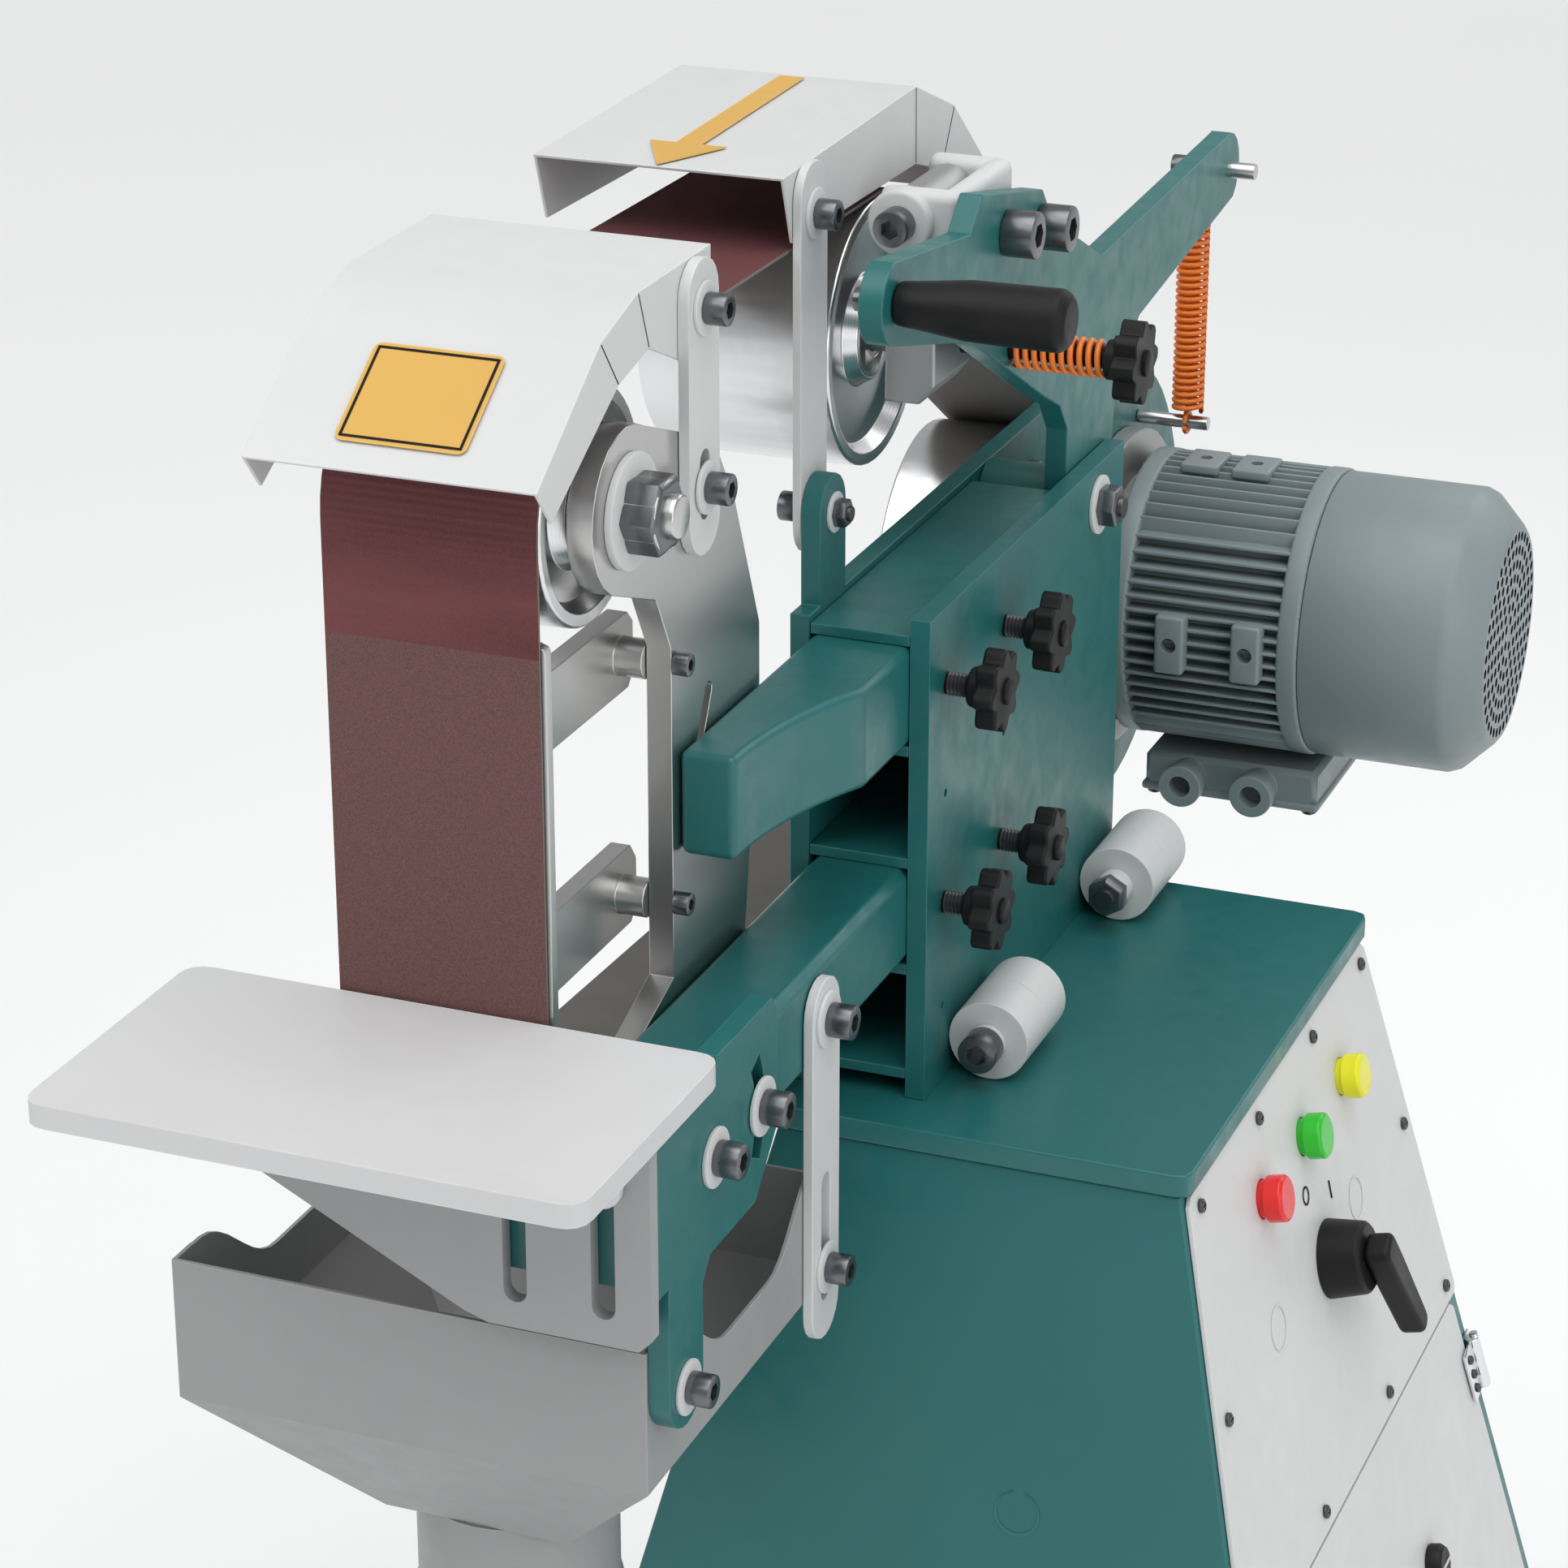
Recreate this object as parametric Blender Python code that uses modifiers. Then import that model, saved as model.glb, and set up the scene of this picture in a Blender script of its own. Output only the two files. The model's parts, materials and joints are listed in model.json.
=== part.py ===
"""Two-arm belt grinder on a flared pedestal, built as separate named pieces.

Lengths below are in millimetres, measured from the work datum: the middle of the belt's width (x),
the belt's front face (y) and the work table's top (z). x runs to the operator's right, y runs away
from the operator and z runs up. `world` turns them into metres from the centre of the footprint.
"""

import math

import bmesh
import bpy
from mathutils import Matrix, Vector

MM = 0.001
DATUM = (-165.0, -402.0, 946.0)
GAP = 0.3

# Pedestal and top plate
TOP_X = (57.0, 273.0)
TOP_Y = (235.0, 569.0)
TOP_Z = (-158.0, -146.0)
FLOOR_Z = -946.0
WALL = 3.0
BODY_INSET = 5.0
FLARE_X = 0.236
FLARE_Y = 0.212
PANEL_T = 2.5
PANEL_TOP = -161.0
PANEL_SEAM = -388.0
DOOR_BOTTOM = -830.0
BUTTON_Y = {"button_red": 338.0, "button_green": 412.0, "button_yellow": 487.0}
BUTTON_Z = -206.0
BUTTON_R = 12.0
SWITCH = (415.0, -275.0)
KNUCKLE_AXIS = (149.0, -125.0)
KNUCKLE_R = 20.7
KNUCKLE_LENGTH = 30.0
KNUCKLE_FRONTS = {"front": 300.0, "rear": 508.0}
PIN_R = 8.0

# Frame: two plates joined by shelves, with a channel for each arm
LEFT_X = (57.0, 67.0)
RIGHT_X = (118.0, 128.0)
FRAME_Y = (266.0, 566.0)
FRAME_Z = (-145.7, 104.0)
LEFT_TOP = 99.0
SHELF_T = 5.5
SHELF_BOTTOMS = (90.0, 34.0, -24.0, -80.0, -136.0)
KNOB_PLACES = ((376.0, 64.75), (291.0, 64.75), (375.0, -49.25), (291.0, -49.25))
TAPPED_HOLES = ((377.0, 8.0), (291.0, 8.0), (377.0, -105.0), (291.0, -105.0))
EAR = (297.0, 143.0, 17.0)

# Arms
ARM_X = (67.5, 117.5)
UPPER_ARM_Z = (39.75, 89.75)
LOWER_ARM_Z = (-74.25, -24.25)
UPPER_ARM_Y = (106.0, 465.0)
LOWER_ARM_Y = (-20.0, 500.0)
SCALLOP_R = 242.0
SCALLOP_DEPTH = 23.0

# Belt and wheels: (y, z, radius) in the plane of the belt's loop
BELT_HALF = 50.0
BELT_T = 1.6
TOP_WHEEL = (55.4, 217.9, 53.5)
LOW_WHEEL = (39.9, -65.0, 38.0)
TRACKING_WHEEL = (400.0, 201.0, 68.0)
DRIVE_WHEEL = (750.0, -45.0, 84.0)
WHEEL_SIDES = 48

# Head plate and platen
HEAD_X = (55.0, 67.0)
PLATEN_X = (-51.0, 52.0)
PLATEN_Y = (2.1, 8.0)
PLATEN_Z = (-18.0, 172.0)
SUPPORT_X = (31.0, 41.0)
STANDOFFS = ((104.0, 132.0), (102.0, 18.0))

# Guards
SHEET = 1.6
FRONT_GUARD_X = (-67.0, 67.0)
FRONT_GUARD_TOP = ((-35.0, 253.0), (30.0, 298.0), (69.0, 309.5), (148.0, 310.5))
FRONT_GUARD_LOW = ((148.0, 268.0), (112.0, 268.0), (80.0, 282.0), (48.0, 275.0), (-21.0, 236.0))
TOP_GUARD_X = (-74.0, 52.0)
TOP_GUARD_TOP = ((270.0, 308.5), (447.0, 313.0), (504.0, 291.0), (582.0, 228.0))
TOP_GUARD_LOW = ((560.0, 204.0), (486.0, 262.0), (448.0, 273.5), (282.0, 275.0))
FRONT_BAR = (67.3, 72.3, 127.0, 193.0, 293.0)
TOP_BAR = (52.3, 56.7, 298.0, 137.0, 294.0)
LINK_BAR = (118.0, 123.0, 146.0, -198.0, -46.0)
BAR_R = 17.0
SLOT_R = 5.5

# Tension arm and tracking
ARM_PLATE_X = (105.3, 117.3)
PIVOT = (523.0, 82.0)
PIVOT_TUBE_R = 18.0
HANDLE = (246.0, 263.0)
LEVER_TIP = (786.0, 197.0)
TRACK_SCREW = (408.0, 197.0)
TRACK_PIVOT = (75.0, 267.0)
SCREW_CLEARANCE = 3.6
SPRING_X = 97.0
SPRING_Z = (50.0, 176.0)
ANCHOR = (790.0, 45.0)

# Table, bracket and hopper
TABLE_X = (-123.0, 133.0)
TABLE_Y = (-150.0, -2.0)
TABLE_T = 11.0
TABLE_CORNER_R = 12.0
FLANGE_Y = (-70.0, -62.3)
BRACKET_X = (118.0, 128.0)
TILT_PIVOT = (-1.0, -49.25)
ARC_SLOT_R = 53.0
HOPPER_X = (-112.0, 117.7)
HOPPER_Y = (-53.0, 165.0)
HOPPER_Z = (-191.0, -121.0)
SPOUT = (3.0, 56.0, 48.0)
SPOUT_Z = (-330.0, -268.0)

# Motor
MOTOR_AXIS = (750.0, -45.0)
FLANGE_R = 92.0
FIN_COUNT = 36
FIN_RADII = (75.0, 82.0)
MOTOR_BODY_X = (88.0, 200.0)
FAN_COVER_X = (200.3, 301.0)

COLORS = {
    "teal": ((0.028, 0.135, 0.13), 0.42, 0.0),
    "white": ((0.72, 0.72, 0.72), 0.45, 0.0),
    "steel": ((0.55, 0.54, 0.52), 0.32, 1.0),
    "aluminium": ((0.72, 0.72, 0.73), 0.28, 1.0),
    "black": ((0.02, 0.02, 0.02), 0.5, 0.0),
    "motor": ((0.25, 0.32, 0.33), 0.5, 0.0),
    "belt": ((0.11, 0.035, 0.035), 0.9, 0.0),
    "orange": ((0.8, 0.16, 0.01), 0.4, 0.0),
    "grey": ((0.42, 0.42, 0.42), 0.5, 0.0),
    "red": ((0.8, 0.02, 0.02), 0.3, 0.0),
    "green": ((0.02, 0.55, 0.02), 0.3, 0.0),
    "yellow": ((0.8, 0.75, 0.02), 0.3, 0.0),
    "chrome": ((0.8, 0.8, 0.82), 0.12, 1.0),
}

AXIS_X = Vector((1.0, 0.0, 0.0))
AXIS_Y = Vector((0.0, 1.0, 0.0))
AXIS_Z = Vector((0.0, 0.0, 1.0))


def world(x, y, z):
    return Vector((x + DATUM[0], y + DATUM[1], z + DATUM[2])) * MM


def clear_scene():
    for obj in list(bpy.data.objects):
        bpy.data.objects.remove(obj)


def new_collection(name):
    collection = bpy.data.collections.new(name)
    bpy.context.scene.collection.children.link(collection)
    return collection


clear_scene()
PARTS = new_collection("belt_grinder")
CUTTERS = new_collection("cutters")


# Materials and object helpers

def paint(obj, color):
    rgb, roughness, metallic = COLORS[color]
    material = bpy.data.materials.new(obj.name + "_material")
    material.use_nodes = True
    shader = material.node_tree.nodes["Principled BSDF"]
    shader.inputs["Base Color"].default_value = (*rgb, 1.0)
    shader.inputs["Roughness"].default_value = roughness
    shader.inputs["Metallic"].default_value = metallic
    material.diffuse_color = (*rgb, 1.0)
    obj.data.materials.append(material)


def add_object(name, data, color, matrix):
    obj = bpy.data.objects.new(name, data)
    obj.matrix_world = matrix
    if color is None:
        CUTTERS.objects.link(obj)
        obj.hide_render = True
        obj.display_type = "WIRE"
    else:
        PARTS.objects.link(obj)
        paint(obj, color)
    return obj


def smooth(mesh, degrees=35.0):
    mesh.shade_smooth()
    mesh.set_sharp_from_angle(angle=math.radians(degrees))


def basis(origin, u, v):
    """A frame whose local x is u and local y is v; its local z is the outward normal."""
    n = u.cross(v)
    matrix = Matrix((u, v, n)).transposed().to_4x4()
    matrix.translation = origin
    return matrix


def box(name, color, x_range, y_range, z_range, bevel=0.0):
    sizes = [r[1] - r[0] for r in (x_range, y_range, z_range)]
    centre = world(*[(r[0] + r[1]) / 2 for r in (x_range, y_range, z_range)])
    mesh = bpy.data.meshes.new(name)
    bm = bmesh.new()
    bmesh.ops.create_cube(bm, size=1.0)
    bmesh.ops.scale(bm, vec=Vector(sizes) * MM, verts=bm.verts)
    bm.to_mesh(mesh)
    bm.free()
    obj = add_object(name, mesh, color, Matrix.Translation(centre))
    if bevel > 0.0:
        round_edges(obj, bevel)
    return obj


def round_edges(obj, width, segments=1, angle=40.0):
    modifier = obj.modifiers.new("Edges", "BEVEL")
    modifier.width = width * MM
    modifier.segments = segments
    modifier.limit_method = "ANGLE"
    modifier.angle_limit = math.radians(angle)


def arc(centre, radius, start, end, steps):
    """Points on a circle from start to end, in degrees, anticlockwise when end is larger."""
    points = []
    for i in range(steps + 1):
        angle = math.radians(start + (end - start) * i / steps)
        points.append((centre[0] + radius * math.cos(angle), centre[1] + radius * math.sin(angle)))
    return points


def circle(centre, radius, sides=16):
    return arc(centre, radius, 0.0, 360.0 * (sides - 1) / sides, sides - 1)


def stadium(a, b, radius, steps=8):
    """The outline of a round-ended slot or bar between two centres."""
    angle = math.degrees(math.atan2(b[1] - a[1], b[0] - a[0]))
    return arc(b, radius, angle - 90, angle + 90, steps) + arc(a, radius, angle + 90, angle + 270, steps)


def rounded(corners, radius, steps=3):
    """A closed polygon with each corner replaced by a short arc (a quadratic curve)."""
    points = []
    count = len(corners)
    for i, corner in enumerate(corners):
        here = Vector(corner)
        before = Vector(corners[i - 1]) - here
        after = Vector(corners[(i + 1) % count]) - here
        cut = min(radius, before.length * 0.45, after.length * 0.45)
        first = here + before.normalized() * cut
        last = here + after.normalized() * cut
        for k in range(steps + 1):
            t = k / steps
            point = first * (1 - t) ** 2 + here * 2 * t * (1 - t) + last * t ** 2
            points.append((point.x, point.y))
    return points


def outline_curve(name, outline, holes, thickness):
    curve = bpy.data.curves.new(name, "CURVE")
    curve.dimensions = "2D"
    curve.fill_mode = "BOTH"
    curve.extrude = thickness * MM / 2
    for ring in [outline] + list(holes):
        spline = curve.splines.new("POLY")
        spline.points.add(len(ring) - 1)
        for point, (a, b) in zip(spline.points, ring):
            point.co = (a * MM, b * MM, 0.0, 1.0)
        spline.use_cyclic_u = True
    return curve


def plate(name, color, frame, outline, thickness, holes=()):
    """A flat plate: its back face lies on the frame's plane and it grows along the normal."""
    curve = outline_curve(name, outline, holes, thickness)
    lift = Matrix.Translation((0.0, 0.0, thickness * MM / 2))
    return add_object(name, curve, color, frame @ lift)


def side_plate(name, color, x_range, outline, holes=()):
    """A plate square to x, drawn as (y, z) points."""
    frame = basis(world(x_range[0], 0.0, 0.0), AXIS_Y, AXIS_Z)
    return plate(name, color, frame, outline, x_range[1] - x_range[0], holes)


def level_plate(name, color, z_range, outline, holes=()):
    """A plate square to z, drawn as (x, y) points."""
    frame = basis(world(0.0, 0.0, z_range[0]), AXIS_X, AXIS_Y)
    return plate(name, color, frame, outline, z_range[1] - z_range[0], holes)


def front_plate(name, color, y_range, outline, holes=()):
    """A plate square to y, drawn as (x, z) points."""
    frame = basis(world(0.0, y_range[1], 0.0), AXIS_X, AXIS_Z)
    return plate(name, color, frame, outline, y_range[1] - y_range[0], holes)


def as_mesh(obj):
    """Replace a curve object by a closed mesh object of the same name and place."""
    graph = bpy.context.evaluated_depsgraph_get()
    mesh = bpy.data.meshes.new_from_object(obj.evaluated_get(graph))
    bm = bmesh.new()
    bm.from_mesh(mesh)
    bmesh.ops.remove_doubles(bm, verts=bm.verts, dist=0.00001)
    bmesh.ops.recalc_face_normals(bm, faces=bm.faces)
    bm.to_mesh(mesh)
    bm.free()
    name = obj.name
    matrix = obj.matrix_world.copy()
    collection = obj.users_collection[0]
    bpy.data.objects.remove(obj)
    solid = bpy.data.objects.new(name, mesh)
    solid.name = name
    solid.matrix_world = matrix
    collection.objects.link(solid)
    if collection is CUTTERS:
        solid.hide_render = True
        solid.display_type = "WIRE"
    return solid


def combine(obj, tool, operation):
    modifier = obj.modifiers.new(tool.name, "BOOLEAN")
    modifier.operation = operation
    modifier.solver = "EXACT"
    modifier.object = tool


def turned(name, color, frame, profile, sides=32, sharp=35.0):
    """Revolve (radius, height) points about the frame's local z, listed from the top down."""
    mesh = bpy.data.meshes.new(name)
    points = [(r * MM, 0.0, h * MM) for r, h in profile]
    edges = [(i, i + 1) for i in range(len(points) - 1)]
    if profile[0][0] > 0.0:
        edges.append((len(points) - 1, 0))
    mesh.from_pydata(points, edges, [])
    obj = add_object(name, mesh, color, frame)
    screw = obj.modifiers.new("Turn", "SCREW")
    screw.steps = sides
    screw.render_steps = sides
    screw.use_merge_vertices = True
    screw.merge_threshold = 0.00005
    screw.use_smooth_shade = False
    return obj


def along_x(x, y, z):
    """A frame at a point whose local z runs along +x."""
    return basis(world(x, y, z), AXIS_Y, AXIS_Z)


def along_y(x, y, z):
    """A frame at a point whose local z runs along +y."""
    return basis(world(x, y, z), AXIS_Z, AXIS_X)


def rod_profile(radius, low, high):
    return [(0.0, high), (radius, high), (radius, low), (0.0, low)]


# Pedestal

SLOPE = math.atan(FLARE_X)
BODY_TOP = TOP_Z[0] - GAP
MID_X = (TOP_X[0] + TOP_X[1]) / 2
MID_Y = (TOP_Y[0] + TOP_Y[1]) / 2
BODY_HALF = ((TOP_X[1] - TOP_X[0]) / 2 - BODY_INSET, (TOP_Y[1] - TOP_Y[0]) / 2 - BODY_INSET / 2)
SIDE_UP = Vector((-math.sin(SLOPE), 0.0, math.cos(SLOPE)))


def body_half(z, inset=0.0):
    """Half width and half depth of the flared body at a height."""
    drop = BODY_TOP - z
    return BODY_HALF[0] + FLARE_X * drop - inset, BODY_HALF[1] + FLARE_Y * drop - inset


def side_frame(lift=0.0):
    """A frame on the body's right face: local x runs along +y and local y runs up the slope."""
    start = world(MID_X + BODY_HALF[0], -DATUM[1], BODY_TOP)
    frame = basis(start, AXIS_Y, SIDE_UP)
    return frame @ Matrix.Translation((0.0, 0.0, lift * MM))


def side_v(z):
    """The distance up the right face's slope that matches a height."""
    return (z - BODY_TOP) / math.cos(SLOPE)


def side_outline(top, bottom, inset, shift=0.0):
    """A trapezium on the right face between two heights, kept inside the body's edges."""
    corners = []
    for z, sign in ((bottom, -1), (bottom, 1), (top, 1), (top, -1)):
        half = body_half(z)[1] - inset
        corners.append((MID_Y + DATUM[1] + sign * half + shift, side_v(z)))
    return corners


def frustum(name, color, top, bottom, inset):
    mesh = bpy.data.meshes.new(name)
    bm = bmesh.new()
    bmesh.ops.create_cube(bm, size=2.0)
    for vert in bm.verts:
        z = top if vert.co.z > 0 else bottom
        half = body_half(z, inset)
        vert.co = Vector((vert.co.x * half[0], vert.co.y * half[1], z - bottom)) * MM
    bm.to_mesh(mesh)
    bm.free()
    return add_object(name, mesh, color, Matrix.Translation(world(MID_X, MID_Y, bottom)))


def build_pedestal():
    pedestal = frustum("pedestal", "teal", BODY_TOP, FLOOR_Z, 0.0)
    hollow = frustum("pedestal_hollow", None, BODY_TOP - WALL, FLOOR_Z + WALL, WALL)
    opening_outline = side_outline(PANEL_SEAM - 25.0, DOOR_BOTTOM + 25.0, 40.0)
    opening = plate("door_opening", None, side_frame(-30.0), opening_outline, 60.0)
    opening = as_mesh(opening)
    across = [y + DATUM[1] for y in (min(BUTTON_Y.values()) - 20.0, max(BUTTON_Y.values()) + 20.0)]
    rise = [side_v(z) for z in (BUTTON_Z - 18.0, BUTTON_Z + 18.0)]
    slot = [(across[0], rise[0]), (across[1], rise[0]), (across[1], rise[1]), (across[0], rise[1])]
    button_slot = as_mesh(plate("button_slot", None, side_frame(-30.0), slot, 60.0))
    combine(pedestal, hollow, "DIFFERENCE")
    combine(pedestal, opening, "DIFFERENCE")
    combine(pedestal, button_slot, "DIFFERENCE")
    corners = [(TOP_X[0], TOP_Y[0]), (TOP_X[1], TOP_Y[0]), (TOP_X[1], TOP_Y[1]), (TOP_X[0], TOP_Y[1])]
    level_plate("top_plate", "teal", TOP_Z, rounded(corners, 8.0, 2))


def build_panel_and_door():
    outline = rounded(side_outline(PANEL_TOP, PANEL_SEAM, 4.0), 4.0, 1)
    holes = [circle((y + DATUM[1], side_v(BUTTON_Z)), BUTTON_R - 2.0, 20) for y in BUTTON_Y.values()]
    plate("control_panel", "white", side_frame(GAP), outline, PANEL_T, holes)
    door_outline = rounded(side_outline(PANEL_SEAM - 2.0, DOOR_BOTTOM, 15.0), 4.0, 1)
    lock_spot = circle((480.0 + DATUM[1], side_v(-486.0)), 8.0, 16)
    plate("service_door", "white", side_frame(GAP), door_outline, PANEL_T, [lock_spot])


def build_controls():
    face = GAP + PANEL_T
    for name, y in BUTTON_Y.items():
        spot = side_frame(face) @ Matrix.Translation(((y + DATUM[1]) * MM, side_v(BUTTON_Z) * MM, 0.0))
        stem = BUTTON_R - 2.4
        profile = [(0.0, 13.5), (BUTTON_R - 1.5, 13.5), (BUTTON_R, 12.0), (BUTTON_R, 3.5),
                   (stem, 3.5), (stem, -2.4), (0.0, -2.4)]
        turned(name, name.split("_")[1], spot, profile, 24)
    spot = side_frame(face + GAP) @ Matrix.Translation(
        ((SWITCH[0] + DATUM[1]) * MM, side_v(SWITCH[1]) * MM, 0.0))
    profile = [(0.0, 22.0), (17.0, 22.0), (19.0, 20.0), (21.0, 0.0), (0.0, 0.0)]
    turned("switch_base", "black", spot, profile, 32)
    lever = [(-9.0, 12.0), (-9.0, -10.0), (-6.5, -62.0), (6.5, -62.0), (9.0, -10.0), (9.0, 12.0)]
    turn = Matrix.Rotation(math.radians(28.0), 4, "Z")
    frame = spot @ Matrix.Translation((0.0, 0.0, 22.3 * MM)) @ turn
    plate("switch_lever", "black", frame, rounded(lever, 6.0, 3), 14.0)


def build_door_hardware():
    """Each hinge is a barrel on the door's rear edge line with its fixed leaf behind it."""
    top = side_outline(PANEL_SEAM - 2.0, DOOR_BOTTOM, 15.0)[2]
    bottom = side_outline(PANEL_SEAM - 2.0, DOOR_BOTTOM, 15.0)[1]
    edge = (Vector(bottom) - Vector(top)).normalized()
    across = Vector((-edge.y, edge.x))
    for name, distance in (("door_hinge_upper", 48.0), ("door_hinge_lower", 400.0)):
        centre = Vector(top) + edge * distance + across * 6.0
        u = Vector((across.x, across.y, 0.0))
        v = Vector((-edge.x, -edge.y, 0.0))
        local = basis(Vector((centre.x, centre.y, 0.0)) * MM, u, v)
        frame = side_frame(GAP) @ local
        leaf = [(-1.0, -16.0), (9.0, -16.0), (9.0, 16.0), (-1.0, 16.0)]
        leaf_obj = as_mesh(plate(name, "chrome", frame, leaf, 2.0))
        barrel = frame @ Matrix.Translation((0.0, 0.0, 5.5 * MM)) @ Matrix.Rotation(math.radians(-90), 4, "X")
        barrel_obj = turned(name + "_barrel", None, barrel, rod_profile(4.2, -17.0, 17.0), 16)
        combine(leaf_obj, barrel_obj, "UNION")
    spot = side_frame(GAP + PANEL_T) @ Matrix.Translation(
        ((480.0 + DATUM[1]) * MM, side_v(-486.0) * MM, 0.0))
    profile = [(0.0, 9.0), (9.0, 9.0), (11.0, 6.0), (11.0, GAP), (7.5, GAP), (7.5, -12.0), (0.0, -12.0)]
    turned("door_lock", "black", spot, profile, 24)


def build_tilt_hinge():
    """Two bolt-through knuckle pairs: the front half turns with the frame."""
    for name, front in KNUCKLE_FRONTS.items():
        middle = front + KNUCKLE_LENGTH
        ring = [(KNUCKLE_R, middle - GAP), (KNUCKLE_R, front), (PIN_R + GAP, front), (PIN_R + GAP, middle - GAP)]
        frame = along_y(KNUCKLE_AXIS[0], 0.0, KNUCKLE_AXIS[1])
        turned("frame_knuckle_" + name, "white", frame, ring, 32)
        back = middle + KNUCKLE_LENGTH - GAP
        head = front - 11.0
        fixed = [(0.0, back), (KNUCKLE_R, back), (KNUCKLE_R, middle), (PIN_R, middle), (PIN_R, front - GAP),
                 (PIN_R + 1.5, front - GAP), (PIN_R + 1.5, head), (0.0, head)]
        turned("base_knuckle_" + name, "white", frame, fixed, 32)


# Frame

def left_plate_outline():
    ear = arc(EAR[:2], EAR[2], 180.0, 0.0, 10)
    rear = arc(MOTOR_AXIS, 128.0, 68.0, -110.0, 24)
    points = [(FRAME_Y[0], FRAME_Z[0]), (FRAME_Y[0], LEFT_TOP), (EAR[0] - EAR[2], LEFT_TOP)]
    return points + ear + [(EAR[0] + EAR[2], LEFT_TOP), (640.0, LEFT_TOP)] + rear + [(610.0, FRAME_Z[0])]


def build_frame():
    shaft_hole = circle(MOTOR_AXIS, 30.0, 24)
    pivot_hole = circle(PIVOT, 5.3, 12)
    side_plate("frame_left_plate", "teal", LEFT_X, left_plate_outline(), [shaft_hole, pivot_hole])
    corners = [(FRAME_Y[0], FRAME_Z[0]), (FRAME_Y[1], FRAME_Z[0]), (FRAME_Y[1], FRAME_Z[1]),
               (FRAME_Y[0], FRAME_Z[1])]
    holes = [circle(place, 5.4, 12) for place in KNOB_PLACES]
    holes += [circle(place, 2.2, 8) for place in TAPPED_HOLES]
    side_plate("frame_right_plate", "teal", RIGHT_X, corners, holes)
    for number, bottom in enumerate(SHELF_BOTTOMS, 1):
        rear = 497.0 if number == 1 else FRAME_Y[1]
        box(f"frame_shelf_{number}", "teal", (LEFT_X[1] + GAP, RIGHT_X[0] - GAP), (FRAME_Y[0] + GAP, rear),
            (bottom, bottom + SHELF_T))
    turned("spring_anchor", "steel", along_x(0.0, *ANCHOR), rod_profile(4.0, LEFT_X[1] + GAP, 110.0), 12)


def star_outline(radius, lobes, depth):
    """A star knob's outline: round lobes with round valleys between them."""
    points = []
    steps = lobes * 6
    for i in range(steps):
        angle = 2 * math.pi * i / steps
        wave = math.cos(angle * lobes)
        r = radius - depth * (0.5 - 0.5 * wave) ** 1.6
        points.append((r * math.cos(angle), r * math.sin(angle)))
    return points


def star_knob(name, y, z, tip, hub, face, radius):
    """A star head with a hub and a stud that reaches the tip."""
    head_back = hub + 7.0
    frame = basis(world(head_back, y, z), AXIS_Y, AXIS_Z)
    head = as_mesh(plate(name, "black", frame, star_outline(radius, 8, 5.0), face - head_back))
    profile = [(0.0, 4.0), (10.0, 4.0), (10.0, hub - head_back), (4.9, hub - head_back),
               (4.9, tip - head_back), (0.0, tip - head_back)]
    stud = turned(name + "_stud", None, along_x(head_back, y, z), profile, 16)
    combine(head, stud, "UNION")


def build_knobs():
    for number, (y, z) in enumerate(KNOB_PLACES, 1):
        star_knob(f"lock_knob_{number}", y, z, ARM_X[1] + GAP, 140.0, 158.0, 21.0)


def build_motor():
    frame = along_x(0.0, *MOTOR_AXIS)
    flange = [(FLANGE_R, 78.0), (FLANGE_R, LEFT_X[1] + GAP), (12.6, LEFT_X[1] + GAP), (12.6, 82.0),
              (0.0, 82.0)]
    profile = [(0.0, MOTOR_BODY_X[0] - GAP), (66.0, MOTOR_BODY_X[0] - GAP), (66.0, 78.0)] + flange
    turned("motor_flange", "grey", frame, profile, 48)
    fins = []
    for i in range(FIN_COUNT):
        for share, radius in ((0.0, 0), (0.55, 0), (0.6, 1), (0.95, 1)):
            angle = 2 * math.pi * (i + share) / FIN_COUNT
            r = FIN_RADII[radius]
            fins.append((MOTOR_AXIS[0] + r * math.cos(angle), MOTOR_AXIS[1] + r * math.sin(angle)))
    side_plate("motor_body", "motor", MOTOR_BODY_X, fins)
    low, high = FAN_COVER_X
    cover = [(0.0, high), (61.0, high), (64.0, high - 2.0), (79.0, high - 17.0), (81.5, high - 23.0),
             (81.5, low), (0.0, low)]
    turned("motor_fan_cover", "motor", frame, cover, 48)
    top = MOTOR_AXIS[1] - FIN_RADII[1] - GAP
    terminal = box("motor_terminal_box", "motor", (104.0, 206.0), (705.0, 795.0), (top - 25.0, top), 3.0)
    for x in (130.0, 172.0):
        profile = [(11.0, 708.0), (11.0, 692.0), (7.0, 692.0), (7.0, 700.0), (0.0, 700.0)]
        gland = turned(f"gland_{int(x)}", None, along_y(x, 0.0, top - 12.5), [(0.0, 708.0)] + profile, 20)
        combine(terminal, gland, "UNION")


# Wheels and belt

def wheel_profile(radius, half, bore, recess):
    """A crowned wheel with a dish in its right face and a blind bore, from the right face down."""
    rim = radius - 7.0
    hub = bore + 14.0
    crown = radius - 0.8
    return [(0.0, half - 24.0), (bore, half - 24.0), (bore, half - 1.0), (hub, half - 1.0),
            (hub + 4.0, half - recess), (rim - 4.0, half - recess), (rim, half), (crown - 1.0, half),
            (crown, half - 1.0), (radius, half * 0.4), (radius, -half * 0.4), (crown, 1.0 - half),
            (crown - 1.0, -half), (0.0, -half)]


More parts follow.
